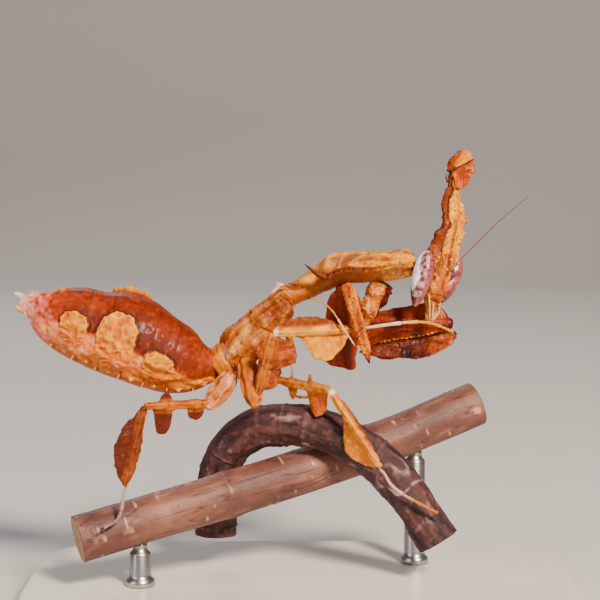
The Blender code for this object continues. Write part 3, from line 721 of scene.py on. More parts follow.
# The spines are pieces of their own, so the shell's upper and lower edges run straight past their tips.
spine_span = (s > (spine_tips[-1][0] - stalk[0]) / (front[0] - stalk[0]) - 0.04) & (s < shield_from + 0.05)
ends_of_span = np.flatnonzero(spine_span)[[0, -1]]
for reach in (2, 3):
    reaches[spine_span, reach] = np.interp(s[spine_span], s[ends_of_span], reaches[ends_of_span, reach])
body_half = 0.90 - 0.06 * np.cos(6 * s)
full_half = np.minimum(np.maximum((reaches[:, 1] - reaches[:, 0]) / 2, body_half), 3.6)
edge_half = body_half + (full_half - body_half) * shield
wave = 0.10 * np.sin(s * 31) + 0.07 * np.sin(s * 57 + 1)
bottom, top = reaches[:, 2], reaches[:, 3]
edge_up = bottom + (top - bottom) * (0.53 - 0.17 * shield) + 0.10 * shield
turn = whole_turn(columns)
# Round the section: 0 at the keel, a quarter turn at the right edge, half a turn under the belly.
sideways = -np.sin(turn)
lifted = np.cos(turn)
S = s[:, None]
wide = edge_half[:, None] + (wave * shield)[:, None]
narrow = body_half[:, None]
above = lifted >= 0
roof = edge_up[:, None] + (top - edge_up)[:, None] * np.abs(lifted) ** (1.0 + 0.35 * shield[:, None])
# Columns gather under the belly, where the narrow body stands out from the thin shield.
belly_x = np.sign(sideways) * np.where(np.abs(sideways) < 0.5, np.abs(sideways) * 2 * narrow,
                                       narrow + (np.abs(sideways) - 0.5) * 2 * (wide - narrow))
belly_share = held(np.abs(belly_x) / narrow)
belly_z = edge_up[:, None] - 0.16 * held(np.abs(lifted)) ** 0.4 + (
    bottom - edge_up + 0.16)[:, None] * np.sqrt(1 - belly_share ** 2)
# The front edge rounds down towards the neck.
round_front = np.sqrt(1 - 0.997 * held((S - 0.91) / 0.09) ** 2)
section_x = np.where(above, sideways * wide, belly_x) * round_front
section_z = edge_up[:, None] + (np.where(above, roof, belly_z) - edge_up[:, None]) * round_front
body = axis[:, None] + side * section_x[..., None] + upward * section_z[..., None]
out = outward(body)
lump, small, fine = cloud(body, 1.2, 31), cloud(body, 0.42, 32), cloud(body, 0.17, 33)
streak = cloud(body * (0.45, 1, 1), 0.5, 34)
from_edge = (1 - np.abs(sideways)) * wide
edge_band = bell(from_edge, 0.05) * shield[:, None]
keel = bell(sideways * wide, 0.20) * above
on_shield = above * shield[:, None]
teeth = held(cloud(np.stack([S * 40, 0 * S, 0 * S], axis=-1), 1.0, 35) - 0.1)
rib = np.abs(np.sin(math.pi * (S * 8 + 0.35 * np.abs(sideways) * wide + 0.3 * lump))) ** 7 * on_shield
fold = bell(np.abs(sideways) * wide - 1.25 - 0.35 * np.sin(9 * S), 0.25) * on_shield
lift = (0.10 * lump * (1 - edge_band) + 0.05 * small + 0.045 * streak + 0.02 * fine
        + keel * (0.10 + 0.12 * teeth) + 0.05 * rib + 0.09 * fold)
grid = body + out * (lift * step_up(S, 0, 0.02) * step_up(1 - S, 0, 0.03))[..., None]
saw = edge_band * (0.13 * np.abs(np.sin(S * 2 * math.pi * 13 + 2 * lump)) ** 2 + 0.06 * small)
grid = grid + side * (np.sign(sideways) * saw)[..., None]
grid[..., 2] += (0.07 * np.sin(s * 16 + 0.6) * shield)[:, None] * np.abs(sideways) ** 3
dark_edge = (1 - step_up(from_edge, 0.06, 0.16)) * shield[:, None] * (0.9 - 0.5 * step_up(S, 0.62, 0.80))
beneath, outer_part = 1 - above, step_up(np.abs(sideways), 0.3, 0.7)
paint = layered(
    "#c0702f", (0.5 + 0.9 * lump, "#d98d45"),
    (step_up(S, 0.40, 0.62) * (0.6 + 0.5 * small) * above, "#ecab5f"),
    (0.55 * above * step_up(streak, 0.15, 0.5), "#f8c581"),
    (0.8 * step_up(-streak + 0.3 * fine, 0.25, 0.55) * above, "#9c4c18"), (0.5 * rib, "#fbd092"),
    (0.7 * keel * held(teeth * 3), "#7f3311"), (0.5 * fold, "#f6bf7d"), (dark_edge, "#741f0a"),
    (0.6 * above * step_up(-fine - 0.4 * small, 0.30, 0.55) * step_up(S, 0.45, 0.6), "#8a3f14"),
    (0.75 * beneath * outer_part * shield[:, None], "#b9642c"),
    (0.5 * beneath * (1 - outer_part), "#b3602f"), (0.55 * beneath * step_up(small, 0.1, 0.5), "#d9935c"),
    (0.8 * beneath * step_up(S, 0.60, 0.78) * (0.8 + 0.5 * small), "#eab878"),
    (0.8 * beneath * step_up(S, 0.60, 0.78) * step_up(fine, 0.05, 0.35), "#efc4ae"),
    (0.45 * (1 - shield[:, None]) * held(-small), "#8d4520"))
skin("pronotum_skin", grid, paint, plate_skin, ["pronotum"])
soft_sleeve("prothorax_sleeve", thorax_end - (0.9, 0, 0.8), stalk + run * 0.9, (0.98, 0.80), 4, 25,
            ("#b87456", "#824a34", "#e0ac8c"))
turn = whole_turn(28)
for name, sign in (("pronotum_spine_right", -1), ("pronotum_spine_left", 1)):
    tip = spine_tips[sign]
    row = int(rows * (shield_from + 0.035))
    root = axis[row] + side * (sign * (wide[row, 0] - 0.45)) + upward * (edge_up[row] - 0.05)
    s = np.linspace(0, 1, 60)[:, None]
    path = root + s * (tip - root) + np.sin(s * math.pi) * (0, 0.1 * sign, -0.15)
    _, side_way, up_way = directions(path, (0, 0, 1))
    size = (1 - s) ** 0.8 + 0.03
    thick = 0.26 * size * np.sin(turn) * (1 + 0.25 * np.abs(np.sin(s * 14)))
    spine = path[:, None] + side_way[:, None] * (0.55 * size * np.cos(turn))[..., None] + (
        up_way[:, None] * thick[..., None])
    paint = layered("#a85424", (step_up(s, 0.1, 0.8), "#722610"), (0.6 * np.cos(turn)[None] ** 8, "#7c2a0e"))
    skin(name, spine, paint, plate_skin)

# --- Walking legs -------------------------------------------------------------------------------------------
# Middle and hind legs: a stout coxa, then a thigh and a shin with thin leaf-shaped lobes on their edges, all
# horny tubes that meet in pinched joints, and a slender foot of five rings with two claws.


def corners_of(node):
    """The corners of a node's solid, each once, in mm."""
    return np.unique(solid_edges(node).reshape(-1, 3).round(4), axis=0)


def near_ring(node, point):
    """The middle of the ring of a solid's corners that lies nearest to a point."""
    places = corners_of(node)
    centre = places[np.argmin(np.linalg.norm(places - point, axis=1))]
    for _ in range(4):
        centre = places[np.linalg.norm(places - centre, axis=1) < 0.47].mean(0)
    return centre


def joint_between(first, second):
    """The joint of two neighbouring pieces: halfway between the end rings that face each other."""
    a, b = corners_of(first), corners_of(second)
    gaps = np.linalg.norm(a[:, None] - b[None], axis=2)
    i, j = np.unravel_index(np.argmin(gaps), gaps.shape)
    return (near_ring(first, a[i]) + near_ring(second, b[j])) / 2


def far_end(node, point):
    """The middle of a solid's end ring that lies farthest from a point."""
    places = corners_of(node)
    return near_ring(node, places[np.argmax(np.linalg.norm(places - point, axis=1))])


def lobe_direction(node, start, end, like):
    """The way a piece's lobes point: square to its axis, along the line in which its corners spread most, on
    the side of `like`."""
    run = unit(end - start)
    places = solid_edges(node).reshape(-1, 3)
    flat = (places - start) - ((places - start) @ run)[:, None] * run
    _, _, ways = np.linalg.svd(flat, full_matrices=False)
    way = unit(ways[0] - (ways[0] @ run) * run)
    return way * np.sign(way @ np.asarray(like, float))


def leaf_limb(node, start, end, down, radius, tips, look, rows=150, columns=72, blade=0.13,
              ruffle=0.10, teeth=(9, 0.06), seed=0, passes=45, slim=(1.0, 1.0), lobes=None):
    """A leg's piece: a round shaft joined to thin lobes. At each point of the section, its half-thickness is
    the root of the shaft's squared plus the blade's squared, and its height runs from the lower edge to the
    upper as a sine. The edges come from the solid, or from the lobes given; look gives lift and paint."""
    run = unit(end - start)
    ends_at = (solid_edges(node).reshape(-1, 3) - start) @ run
    start = start + run * min(0, ends_at.min())
    end = start + run * max((end - start) @ run, ends_at.max() - min(0, ends_at.min()))
    axis, run, side, upward, reaches = sections(node, start, end, -down, rows, passes)
    S, T = np.linspace(0, 1, rows)[:, None], whole_turn(columns)[None]
    from_end = np.minimum(S, 1 - S)
    swell = radius * (0.86 + 0.10 * np.cos(2 * math.pi * S * 2.5 + seed)) * step_up(from_end, -0.06, 0.16)
    shaft = np.maximum(swell, np.where(S < 0.5, *tips)) * rounding((0.035 - from_end) / 0.045, 0.05)
    noise_line = cloud(np.stack([S * 7, 0 * S, 0 * S + seed], axis=-1), 0.5, seed)
    raw_low = slim[0] * np.minimum(reaches[:, 2], 0)[:, None]
    raw_high = slim[1] * np.maximum(reaches[:, 3], 0)[:, None]
    if lobes:
        raw_low, raw_high = (sign * smoothed(np.max([deep * np.sqrt(held(1 - np.abs((S - at) / half) ** 2.3))
                                                     for at, half, deep in group], axis=0), 10)
                             for sign, group in zip((-1, 1), lobes))
    saw = 1 - np.abs((S * teeth[0]) % 1 - 0.35) * 1.6
    leafy = [step_up(np.abs(raw), radius * 1.05, radius * 1.8) for raw in (raw_low, raw_high)]
    low = -np.maximum(shaft, np.abs(raw_low) * np.where(np.abs(raw_low) > shaft, 1, 0.9) - 0.02
                      - leafy[0] * teeth[1] * saw - 0.05 * leafy[0] * noise_line)
    high = np.maximum(shaft, raw_high - 0.02 - leafy[1] * teeth[1] * saw - 0.05 * leafy[1] * noise_line)
    ends = step_up(from_end, 0.0, 0.07)
    low, high = -shaft + (low + shaft) * ends, shaft + (high - shaft) * ends
    Z = (low + high) / 2 + (high - low) / 2 * np.sin(T)
    beyond = np.maximum(np.abs(Z) - shaft, 0)
    core = np.sqrt(np.maximum(shaft ** 2 - Z ** 2, 0))
    thin = blade * (1 - 0.55 * step_up(beyond, 0, 1.0)) * np.minimum(np.where(Z < 0, *leafy) + 0.15, 1)
    half_thick = np.sqrt(core ** 2 + (thin * np.cos(T)) ** 2 + 1e-6)
    bend = ruffle * beyond * np.sin(2 * math.pi * (S * 2.6 + 0.13 * seed) + 0.5 * Z)
    X = bend + np.where(np.abs(np.cos(T)) < 1e-6, 0, np.sign(np.cos(T)) * half_thick)
    body = axis[:, None] + side * X[..., None] + upward * Z[..., None]
    out = outward(body)
    noises = cloud(body, 0.9, seed + 1), cloud(body, 0.38, seed + 2), cloud(body, 0.17, seed + 3)
    edge = held(1 - np.abs(np.abs(np.sin(T)) - 1) / 0.05) * np.where(np.sin(T) < 0, *leafy)
    lift, paint = look(S, Z, beyond, edge, noises, shaft)
    grid = body + out * (lift * ends)[..., None]
    skin(node + "_skin", grid, paint, plate_skin, [node])
    return grid


def thigh_look(base, light, dark, lobe, lobe_light, upper=None, joint=None):
    """The finish of a walking leg's piece: a mottled shaft with two ridges, and lobes with dark edges and
    side veins, a sharp slanting wave. upper colours the upper lobe, and joint the near end."""
    def look(S, Z, beyond, edge, noises, shaft):
        big, mid, fine = noises
        leaf = step_up(beyond, 0.05, 0.35)
        ridge = bell(np.abs(Z) - 0.55 * shaft, 0.08) * (1 - leaf)
        vein = np.abs(np.sin(math.pi * (S * 11 - 0.7 * np.abs(Z)))) ** 14 * step_up(beyond, 0.02, 0.3)
        lift = 0.05 * mid + 0.02 * fine + 0.05 * ridge * (1 + mid) + 0.02 * vein
        knee = step_up(S, 0.88, 0.97)
        marks = (0.22 * vein + 0.9 * held(mid)) * (0.3 if upper else 1) ** (Z > 0)
        paint = layered(
            base, (0.5 + 0.9 * big, light), (0.8 * held(-mid), dark), (0.6 * ridge, light), (leaf, lobe),
            (leaf * (Z > 0), upper or lobe), (leaf * marks, lobe_light),
            (0.8 * edge * (1 - 0.3 * mid), dark), (0.7 * knee * (0.6 + fine), light),
            ((0.9 if joint else 0.6) * bell(S - 0.03, 0.035), joint or dark))
        return lift, paint
    return look


def claw(name, root, tip, hook, radius, colour):
    """A hooked claw or spine: a tapering round horn whose path bows by `hook` mm."""
    s = np.linspace(0, 1, 22)[:, None]
    path = root + s * (tip - root) + np.sin(s * math.pi) * hook
    horn, _ = tube(path, (0.1, 0.9, 0.3), radius * (1 - s) ** 0.75 + 0.008, whole_turn(14))
    skin(name, horn, layered(colour, (step_up(s, 0.3, 0.9), "#3a1208")), plate_skin)


def foot(node, start, toe, colours, heading, radius=0.16, reach=0.8):
    """A tarsus of five rings, the first as long as the others together, each swelling a little at its end,
    with a pad and two claws at the toe."""
    path, _ = centreline(node, start, heading, 0.15, reach, 3)
    if np.linalg.norm(path[0] - toe) < np.linalg.norm(path[-1] - toe):
        path = path[::-1]
    centres, _ = resampled(np.concatenate([[path[0] + unit(path[0] - path[2]) * 0.22], path]), 150)
    centres = smoothed(centres, 6)
    s = np.linspace(0, 1, 150)[:, None]
    knots = np.array([0, 0.47, 0.64, 0.76, 0.86, 1.0])
    ring = np.clip(np.searchsorted(knots, s, side="right") - 1, 0, 4)
    part = (s - knots[ring]) / (knots[ring + 1] - knots[ring])
    size = radius * (0.72 + 0.40 * part ** 2 - 0.25 * bell(part, 0.06)) * (1 - 0.15 * s)
    grid, ways = tube(centres, (0, 1, 0.2), size * rounding((s - 0.985) / 0.016, 0.02), whole_turn(26))
    paint = layered(
        colours[0], (step_up(s, 0.35, 0.75), colours[1]), (0.6 * bell(part, 0.10), colours[2]),
        (0.5 * held(cloud(grid, 0.3, 6)), colours[1]))
    grid = grid + ways * (0.012 * cloud(grid, 0.14, 5))[..., None]
    skin(node + "_skin", grid, paint, plate_skin, [node])
    away = unit(centres[-1] - centres[-8])
    spread = unit(np.cross(away, (0.1, 0.2, 1)))
    for label, sign in (("a", -1), ("b", 1)):
        claw(f"{node}_claw_{label}", centres[-1] - away * 0.08 + spread * 0.05 * sign,
             centres[-1] + away * 0.33 + spread * 0.20 * sign + (0, 0, -0.16), away * 0.02 + (0, 0, 0.07),
             0.055, "#7a4a2c")


LEG_LOOKS = {
    "mid_right": dict(coxa=("#b86a48", "#dc9a78", "#8c4426", "#c47450", "#e2a080"),
                      femur=("#b06030", "#dc9656", "#803818", "#a84e10", "#d8802c"),
                      tibia=("#b4602a", "#f0c08c", "#7c300e", "#f0a765", "#ffd9a4", "#a04c18", "#f6e2d0"),
                      foot=("#e9d3cb", "#d8b276", "#b98c5a")),
    "mid_left": dict(coxa=("#b56238", "#d98d5e", "#8a3f1f", "#c76c35", "#e39a60"),
                     femur=("#bd7c58", "#dba57f", "#8f4a28", "#c9682f", "#e8934f"),
                     tibia=("#d9895a", "#f4c79a", "#a64d2a", "#e9995f", "#f9cda0", "#8c3a14", "#fbeee2"),
                     foot=("#e3c4c0", "#c49c78", "#a07a5c")),
    "hind_right": dict(coxa=("#c88a70", "#e8bca6", "#9a5a40", "#cc8a66", "#e8b498"),
                       femur=("#b8683a", "#dc9a66", "#7c3414", "#7e3210", "#9c4a1c"),
                       tibia=("#8e401c", "#b86c3c", "#5a1e0a", "#7c3212", "#94481e"),
                       foot=("#c3b0b2", "#ad9592", "#8c7476")),
    "hind_left": dict(coxa=("#b56238", "#d98d5e", "#8a3f1f", "#c76c35", "#e39a60"),
                      femur=("#c88a6c", "#f0d4c4", "#8a4423", "#c26a34", "#e49b62"),
                      tibia=("#b76a3e", "#dc9a66", "#8a4423", "#c9763c", "#e8a469", None, "#f6e6e4"),
                      foot=("#e0c6b8", "#c69c78", "#a07a5c")),
}
SLIM = {"mid_left_tibia": (0.98, 0.50), "hind_right_tibia": (0.84, 0.80), "mid_right_tibia": (1.22, 0.90)}
# The lobes of each thigh and of the right coxae, below and then above: where along the piece, half length as
# a share of it, depth in mm.
COXA_LOBES = (((0.46, 0.56, 1.00),), ((0.46, 0.56, 0.90),))
THIGH_LOBES = {"mid_right": (((0.72, 0.27, 2.40), (0.27, 0.18, 1.45)), ((0.72, 0.20, 1.00),)),
               "mid_left": (((0.77, 0.20, 2.50), (0.30, 0.09, 1.45)), ((0.64, 0.05, 1.10),)),
               "hind_right": (((0.72, 0.15, 2.50), (0.22, 0.14, 1.35)), ((0.68, 0.11, 1.10),)),
               "hind_left": (((0.76, 0.18, 2.40), (0.30, 0.12, 1.40)), ((0.66, 0.08, 0.90),))}
KNEE_RISE = 0.95  # the far hind knee stands this much higher than the solid's, so that it shows over the back
for number, (leg, looks) in enumerate(LEG_LOOKS.items()):
    part = {piece: f"{leg}_{piece}" for piece in ("coxa", "femur", "tibia", "tarsus")}
    trochanter = joint_between(part["coxa"], part["femur"])
    knee = joint_between(part["femur"], part["tibia"])
    if leg == "hind_left":
        knee = knee + (0, 0, KNEE_RISE)
    ankle = joint_between(part["tibia"], part["tarsus"])
    hip = far_end(part["coxa"], trochanter)
    hip = hip + unit(hip - trochanter) * 0.35
    toe = far_end(part["tarsus"], ankle)
    right = leg.endswith("right")
    coxa_tip = trochanter + unit(trochanter - hip) * (0.55 if right else 0)
    if leg == "mid_right":
        coxa_tip = coxa_tip + (-0.35, 0, -0.75)
    ends = {"coxa": (hip, coxa_tip, 0.66, (0.50, 0.36)), "femur": (trochanter, knee, 0.46, (0.34, 0.32)),
            "tibia": (knee, ankle, 0.36, (0.30, 0.24))}
    for order, (piece, (start, end, radius, tips)) in enumerate(ends.items()):
        down = lobe_direction(part[piece], start, end, (0.02, 0.05, -1))
        lobes = THIGH_LOBES[leg] if piece == "femur" else None
        if piece == "coxa":
            down, lobes = unit(np.cross(end - start, (0, 1, 0))), COXA_LOBES if right else None
        leaf_limb(part[piece], start, end, down, radius, tips, thigh_look(*looks[piece]),
                  seed=number * 7 + order,
                  rows=190 if piece != "coxa" else 110, passes=300, slim=SLIM.get(part[piece], (1.15, 1.12)),
                  lobes=lobes)
    way = unit(toe - ankle)
    foot(part["tarsus"], ankle + way * 0.45, toe, looks["foot"], way)

# --- Neck ---------------------------------------------------------------------------------------------------
# The soft folded tube between the pronotum and the back of the head.

neck_low, neck_high = box("neck")
neck_start = front - (0.5, 0, 0.1)
neck_end = spot("neck", 1.0, 0.5, 0.5) + (0.6, -0.1, 0)
s = np.linspace(0, 1, 90)[:, None]
folds = np.cos(2 * math.pi * 7 * s)
radius = (neck_high[2] - neck_low[2]) / 2 * (1.25 + 0.07 * folds + 0.15 * np.cos(math.pi * s))
grid, ring = tube(neck_start + s * (neck_end - neck_start), (0, 0, 1), radius, whole_turn(80))
grid = grid + ring * (0.04 * cloud(grid, 0.4, 41))[..., None]
# The valleys between the folds are painted darker, as painted shade.
paint = layered("#c8774a", (0.35 * (1 - folds), "#93482a"), (0.5 * held(cloud(grid, 0.5, 42)), "#e6a97e"))
skin("neck_skin", grid, paint, plate_skin, ["neck"])

# --- Head ---------------------------------------------------------------------------------------------------
# The head capsule: a flat, ridged triangular face between the eyes that narrows to the mouth. It is turned
# towards the right foreleg, whose side shows.

eye_middle = {name: sum(box(name)) / 2 for name in ("eye_left", "eye_right")}
mouth_middle = sum(box("mouthparts")) / 2
head_points = corners_of("head")
head_middle = (head_points.max(0) + head_points.min(0)) / 2
face_up = unit(head_middle - mouth_middle)
to_right = unit(eye_middle["eye_right"] - eye_middle["eye_left"])
face_front = unit(np.cross(face_up, to_right))
to_right = np.cross(face_front, face_up)
heights = (head_points - mouth_middle) @ face_up
chin, vertex = heights.min() - 0.25, heights.max() + 0.25
rows, columns = 250, 200
axis, run, side, upward, reaches = sections(
    "head", mouth_middle + face_up * chin, mouth_middle + face_up * vertex, face_front, rows, 12)
# Along the face's up direction the section's side is the head's left or right and its upward is the front.
s = np.linspace(0, 1, rows)
turn = whole_turn(columns)
S = s[:, None] + 0 * turn
handed = np.sign(side @ to_right)
# The solid leaves room beside the eyes; here the capsule swells to hold them.
hold = 0.34 * step_up(S, 0.16, 0.42) * (1 - 1.3 * step_up(S, 0.66, 1.0))
wide = (reaches[:, 1] - reaches[:, 0])[:, None] / 2 + hold
deep = (reaches[:, 3] - reaches[:, 2])[:, None] / 2
mid_x = (reaches[:, 1] + reaches[:, 0])[:, None] / 2
mid_z = (reaches[:, 3] + reaches[:, 2])[:, None] / 2
cos, sin = np.cos(turn)[None], np.sin(turn)[None]
round_off = rounding((0.07 - S) / 0.075, 0.01)
X = mid_x + wide * np.sign(cos) * np.abs(cos) ** 0.8 * round_off
Z = mid_z + deep * sin * round_off
body = axis[:, None] + side * X[..., None] + upward * Z[..., None]
out = outward(body)
R = X * handed  # towards the head's right eye
front_side = step_up(sin, 0.0, 0.45)
big, mid, fine = cloud(body, 0.9, 51), cloud(body * (1, 1, 0.7), 0.36, 52), cloud(body, 0.15, 53)
courses = [(0.02, 0.10, 1.0), (0.52 + 0.30 * S, 0.10, 1.0), (-0.50 - 0.30 * S, 0.10, 0.9), (0.30, 0.06, 0.5),
           (-0.26, 0.06, 0.5)]
ridges = sum(strength * bell(R - at - 0.05 * mid, width) for at, width, strength in courses)
ridges = ridges * step_up(S, 0.30, 0.46)
plate = step_up(0.26 - np.abs(S - 0.36) - 0.10 * np.abs(R), 0.0, 0.03)
socket = bell(np.abs(R) - 0.42, 0.15) * bell(S - 0.58, 0.030)
labrum = 1 - step_up(S, 0.11, 0.14)
seam = bell(S - 0.14, 0.010) + bell(S - 0.25 + 0.03 * np.abs(R), 0.009)
cheek = step_up(R, 0.62, 0.85) * step_up(S, 0.10, 0.2) * (1 - step_up(S, 0.55, 0.75))
lift = (0.05 * mid + 0.02 * fine + front_side * (0.12 * ridges * (1 + 0.5 * mid) + 0.07 * plate
                                                 + 0.13 * socket - 0.07 * seam)
        + 0.04 * np.abs(np.sin(26 * S + 3 * mid)) * cheek)
grid = body + out * (lift * step_up(S, 0, 0.03))[..., None]
spot_red = bell(R + 0.05, 0.50) * bell(S - 0.40, 0.11) * front_side
paint = layered(
    "#b8602a", (0.5 + 0.9 * big, "#d08444"), (0.75 * held(-mid - 0.02) * 1.5, "#a04c1f"),
    (0.5 * front_side * ridges, "#efa862"),
    (front_side * step_up(S, 0.56, 0.74) * step_up(0.24 - np.abs(R - 0.28), 0, 0.08) * 0.85, "#8f4518"),
    (spot_red * (0.7 + 0.6 * mid), "#e2481c"),
    (0.5 * step_up(-mid + 0.4 * fine, 0.2, 0.5) * spot_red, "#7c1c0c"),
    (0.65 * front_side * seam, "#7c3214"), (labrum, "#eaa02f"), (0.6 * labrum * held(-mid) * 2, "#b0601c"),
    (0.75 * step_up(-sin, 0.2, 0.7), "#b0603a"), (0.3 * cheek * (0.75 + 0.4 * mid), "#e8b890"),
    (0.5 * cheek * step_up(-mid, 0.15, 0.45), "#8c3f20"),
    (0.7 * step_up(fine + 0.5 * mid, 0.35, 0.7) * step_up(S, 0.2, 0.4) * front_side, "#fbd7a8"))
skin("head_skin", grid, paint, plate_skin, ["head"])

# --- Eyes ---------------------------------------------------------------------------------------------------
# Two tall glassy compound eyes, pale with maroon speckles that run in upright bands, under a clear hard coat.


def eye_glass():
    """The clear cornea over thousands of facets about 0.03 mm wide, drawn here at 0.07 mm so that they show:
    a smooth wet highlight over a mottled colour."""
    material, tree, place = new_material("compound_eye_cornea")
    facets = add(tree, "TexVoronoi", {"Scale": 1 / (0.07 * MM)}, {"Vector": place})
    speck = add(tree, "TexNoise", {"Scale": 1 / (0.22 * MM), "Detail": 3.0}, {"Vector": place})
    colour = mottled(tree, own_paint(tree, 1.35), speck, (0.35, 0.65), (0.75, 1.1))
    rough = add(tree, "MapRange", {"To Min": 0.22, "To Max": 0.4}, {"Value": speck})
    settings = {"IOR": 1.45, "Specular IOR Level": 0.3, "Coat Weight": 0.4, "Coat Roughness": 0.08,
                "Subsurface Weight": 0.1, "Subsurface Radius": (1.0, 0.6, 0.5), "Subsurface Scale": 0.2 * MM}
    return finished(material, tree, settings, {"Base Color": colour, "Roughness": rough},
                    facets.outputs["Distance"], 0.25, 0.02)


cornea = eye_glass()
for name, sign in (("eye_right", 1), ("eye_left", -1)):
    points = corners_of(name)
    middle = (points.max(0) + points.min(0)) / 2
    _, _, ways = np.linalg.svd(points - points.mean(0), full_matrices=False)
    long_way = ways[0] * np.sign(ways[0] @ face_up)
    out_way = unit(sign * to_right - (sign * to_right @ long_way) * long_way)
    ahead_way = np.cross(long_way, out_way) * np.sign(np.cross(long_way, out_way) @ face_front)
    half_out, half_ahead, half_long = (np.abs((points - middle) @ way).max()
                                       for way in (out_way, ahead_way, long_way))
    tilt = np.linspace(-math.pi / 2 * 0.985, math.pi / 2 * 0.985, 220)[:, None]
    turn = whole_turn(190)[None]
    high = np.sin(tilt)
    # A spindle: fullest a little above its middle, drawn out to a blunt point above and below.
    girth = np.cos(tilt) ** 1.15 * (1 + 0.22 * high)
    ahead = girth * np.sin(turn)
    outer = girth * np.cos(turn)
    grid = (middle + (0.94 * half_out * outer)[..., None] * out_way
            + (0.96 * half_ahead * ahead)[..., None] * ahead_way
            + ((1.05 if sign > 0 else 0.90) * half_long * high)[..., None] * long_way)
    if np.cross(out_way, ahead_way) @ long_way < 0:
        grid, outer, ahead = grid[:, ::-1], outer[:, ::-1], ahead[:, ::-1]
    speckle, pin = cloud(grid, 0.26, 61), cloud(grid * (1, 1, 0.7), 0.15, 62)
    # A white band lies along the outer rear of the right eye only, part pale pattern and part painted
    # highlight, mottled pink in front of it; the foot of the eye is maroon.
    front_share = ahead / np.maximum(girth, 0.05)
    band = 0.42 - 0.85 * np.abs(high - 0.02) - front_share + 0.10 * speckle
    white = step_up(band, -0.04, 0.10) * step_up(high, -0.60, -0.45) * step_up(outer, -0.5, 0.0) * (sign > 0)
    paint = layered(
        "#b08088", (step_up(pin, -0.2, 0.4), "#cfa0a2"),
        (0.9 * step_up(speckle + 0.5 * pin, 0.10, 0.40), "#7c3040"),
        (0.7 * step_up(-pin - speckle, 0.30, 0.7), "#f3ddd6"), (white, "#fffdf8"),
        (0.5 * white * step_up(pin + 0.3 * speckle, 0.40, 0.6), "#c89a98"),
        (0.85 * step_up(-high, 0.15, 0.5) * (0.8 + 0.5 * speckle), "#6a1a20"),
        (0.45 * step_up(-high, 0.25, 0.62) * step_up(pin, 0.25, 0.5), "#d89a94"),
        (0.8 * step_up(front_share, 0.80, 0.95), "#a8545a"))
    skin(name + "_cornea", grid + outward(grid) * (0.010 * pin)[..., None], paint, cornea, [name])

# --- Mouthparts ---------------------------------------------------------------------------------------------
# Jaw tips and four thin jointed palps that close round the foot which is being cleaned.

low, high = box("mouthparts")
middle = (low + high) / 2
s = np.linspace(0, 1, 60)[:, None]
turn = whole_turn(60)
size = 0.40 * np.sqrt(np.clip(1 - (2 * s - 1) ** 2, 0.002, 1)) * (1.15 - 0.35 * (1 - s))
grid = (middle + ((s - 0.5) * 1.15)[..., None] * face_up + (size * np.cos(turn))[..., None] * to_right
        + (0.85 * size * np.sin(turn))[..., None] * np.cross(face_up, to_right))
grid = grid + outward(grid) * (0.04 * cloud(grid, 0.25, 71))[..., None]
paint = layered(
    "#c98a5e", (held(cloud(grid, 0.3, 72)), "#f0d2b4"), (0.7 * bell(np.cos(turn)[None], 0.12), "#7a3418"))
skin("jaws", grid, paint, plate_skin, ["mouthparts"])
# Each palp: how far its root stands to the right of the mouth's middle and ahead of it, how far the palp bows
# to the right, and how far its root stands above, in mm.
PALPS = ((1.05, 0.10, 0.10, 1.75), (0.50, 0.45, 0.12, 1.0), (-0.45, 0.45, -0.12, 0.9),
         (-0.85, 0.10, -0.12, 1.5))
for number, (across, ahead, bow, rise) in enumerate(PALPS):
    root = middle + to_right * across + face_up * rise + face_front * ahead
    tip = middle + to_right * (across * 0.10 + 0.15) + face_front * (ahead * 0.6 + 0.30) - face_up * 0.45
    s = np.linspace(0, 1, 70)[:, None]
    path = root + s * (tip - root) + np.sin(s * math.pi) * (to_right * bow + face_front * 0.1)
    bead = 1 - 0.35 * bell((s * 4) % 1, 0.12)
    size = 0.105 * bead * (1 - 0.35 * s) * np.sqrt(np.clip(1 - s ** 12, 0.01, 1))
    paint = layered("#e0b287", ((1 - bead) * 1.6, "#a5623a"), (0.6 * s, "#f3dcc6"))
    skin(f"palp_{number + 1}", tube(path, face_front, size, turn)[0], paint, plate_skin)

# --- Crown --------------------------------------------------------------------------------------------------
# The leafy horn on top of the head: a folded blade with a midrib, notched edges and a tip that twists round.

points = corners_of("crown")
crown_base = points[points[:, 2] < points[:, 2].min() + 1.2].mean(0)
crown_tip = points[points[:, 2] > points[:, 2].max() - 0.5].mean(0)
run = unit(crown_tip - crown_base)
height = (points - crown_base) @ run
crown_base, crown_tip = (crown_base + run * reach for reach in (height.min() - 1.5, height.max() + 0.03))
rows, columns = 340, 160
s = np.linspace(0, 1, rows)
axis = crown_base + s[:, None] * (crown_tip - crown_base)
right_way = unit(to_right - (to_right @ run) * run)
front_way = np.cross(run, right_way)
cut, place = cuts(solid_edges("crown"), axis, run)
flat = np.stack([place @ right_way, place @ front_way], axis=-1)
fans = np.linspace(0, math.pi, 72, endpoint=False)
spread = flat @ np.array([np.cos(fans), np.sin(fans)])
high_side = np.where(cut[..., None], spread, -np.inf).max(1)
low_side = np.where(cut[..., None], spread, np.inf).min(1)
whole = (axis - crown_base) @ run
met = (cut.sum(1) > 5) & (whole > 2.3) & (whole < whole[-1] - 0.25)
widths = np.where(met[:, None], high_side - low_side, 0)
long_at = np.unwrap(2 * fans[widths.argmax(1)]) / 2
row = np.arange(rows)


def over_rows(values):
    """Values known where the solid is cut, carried on to every row and smoothed."""
    return smoothed(np.interp(row, row[met], np.asarray(values)[met]), 25)


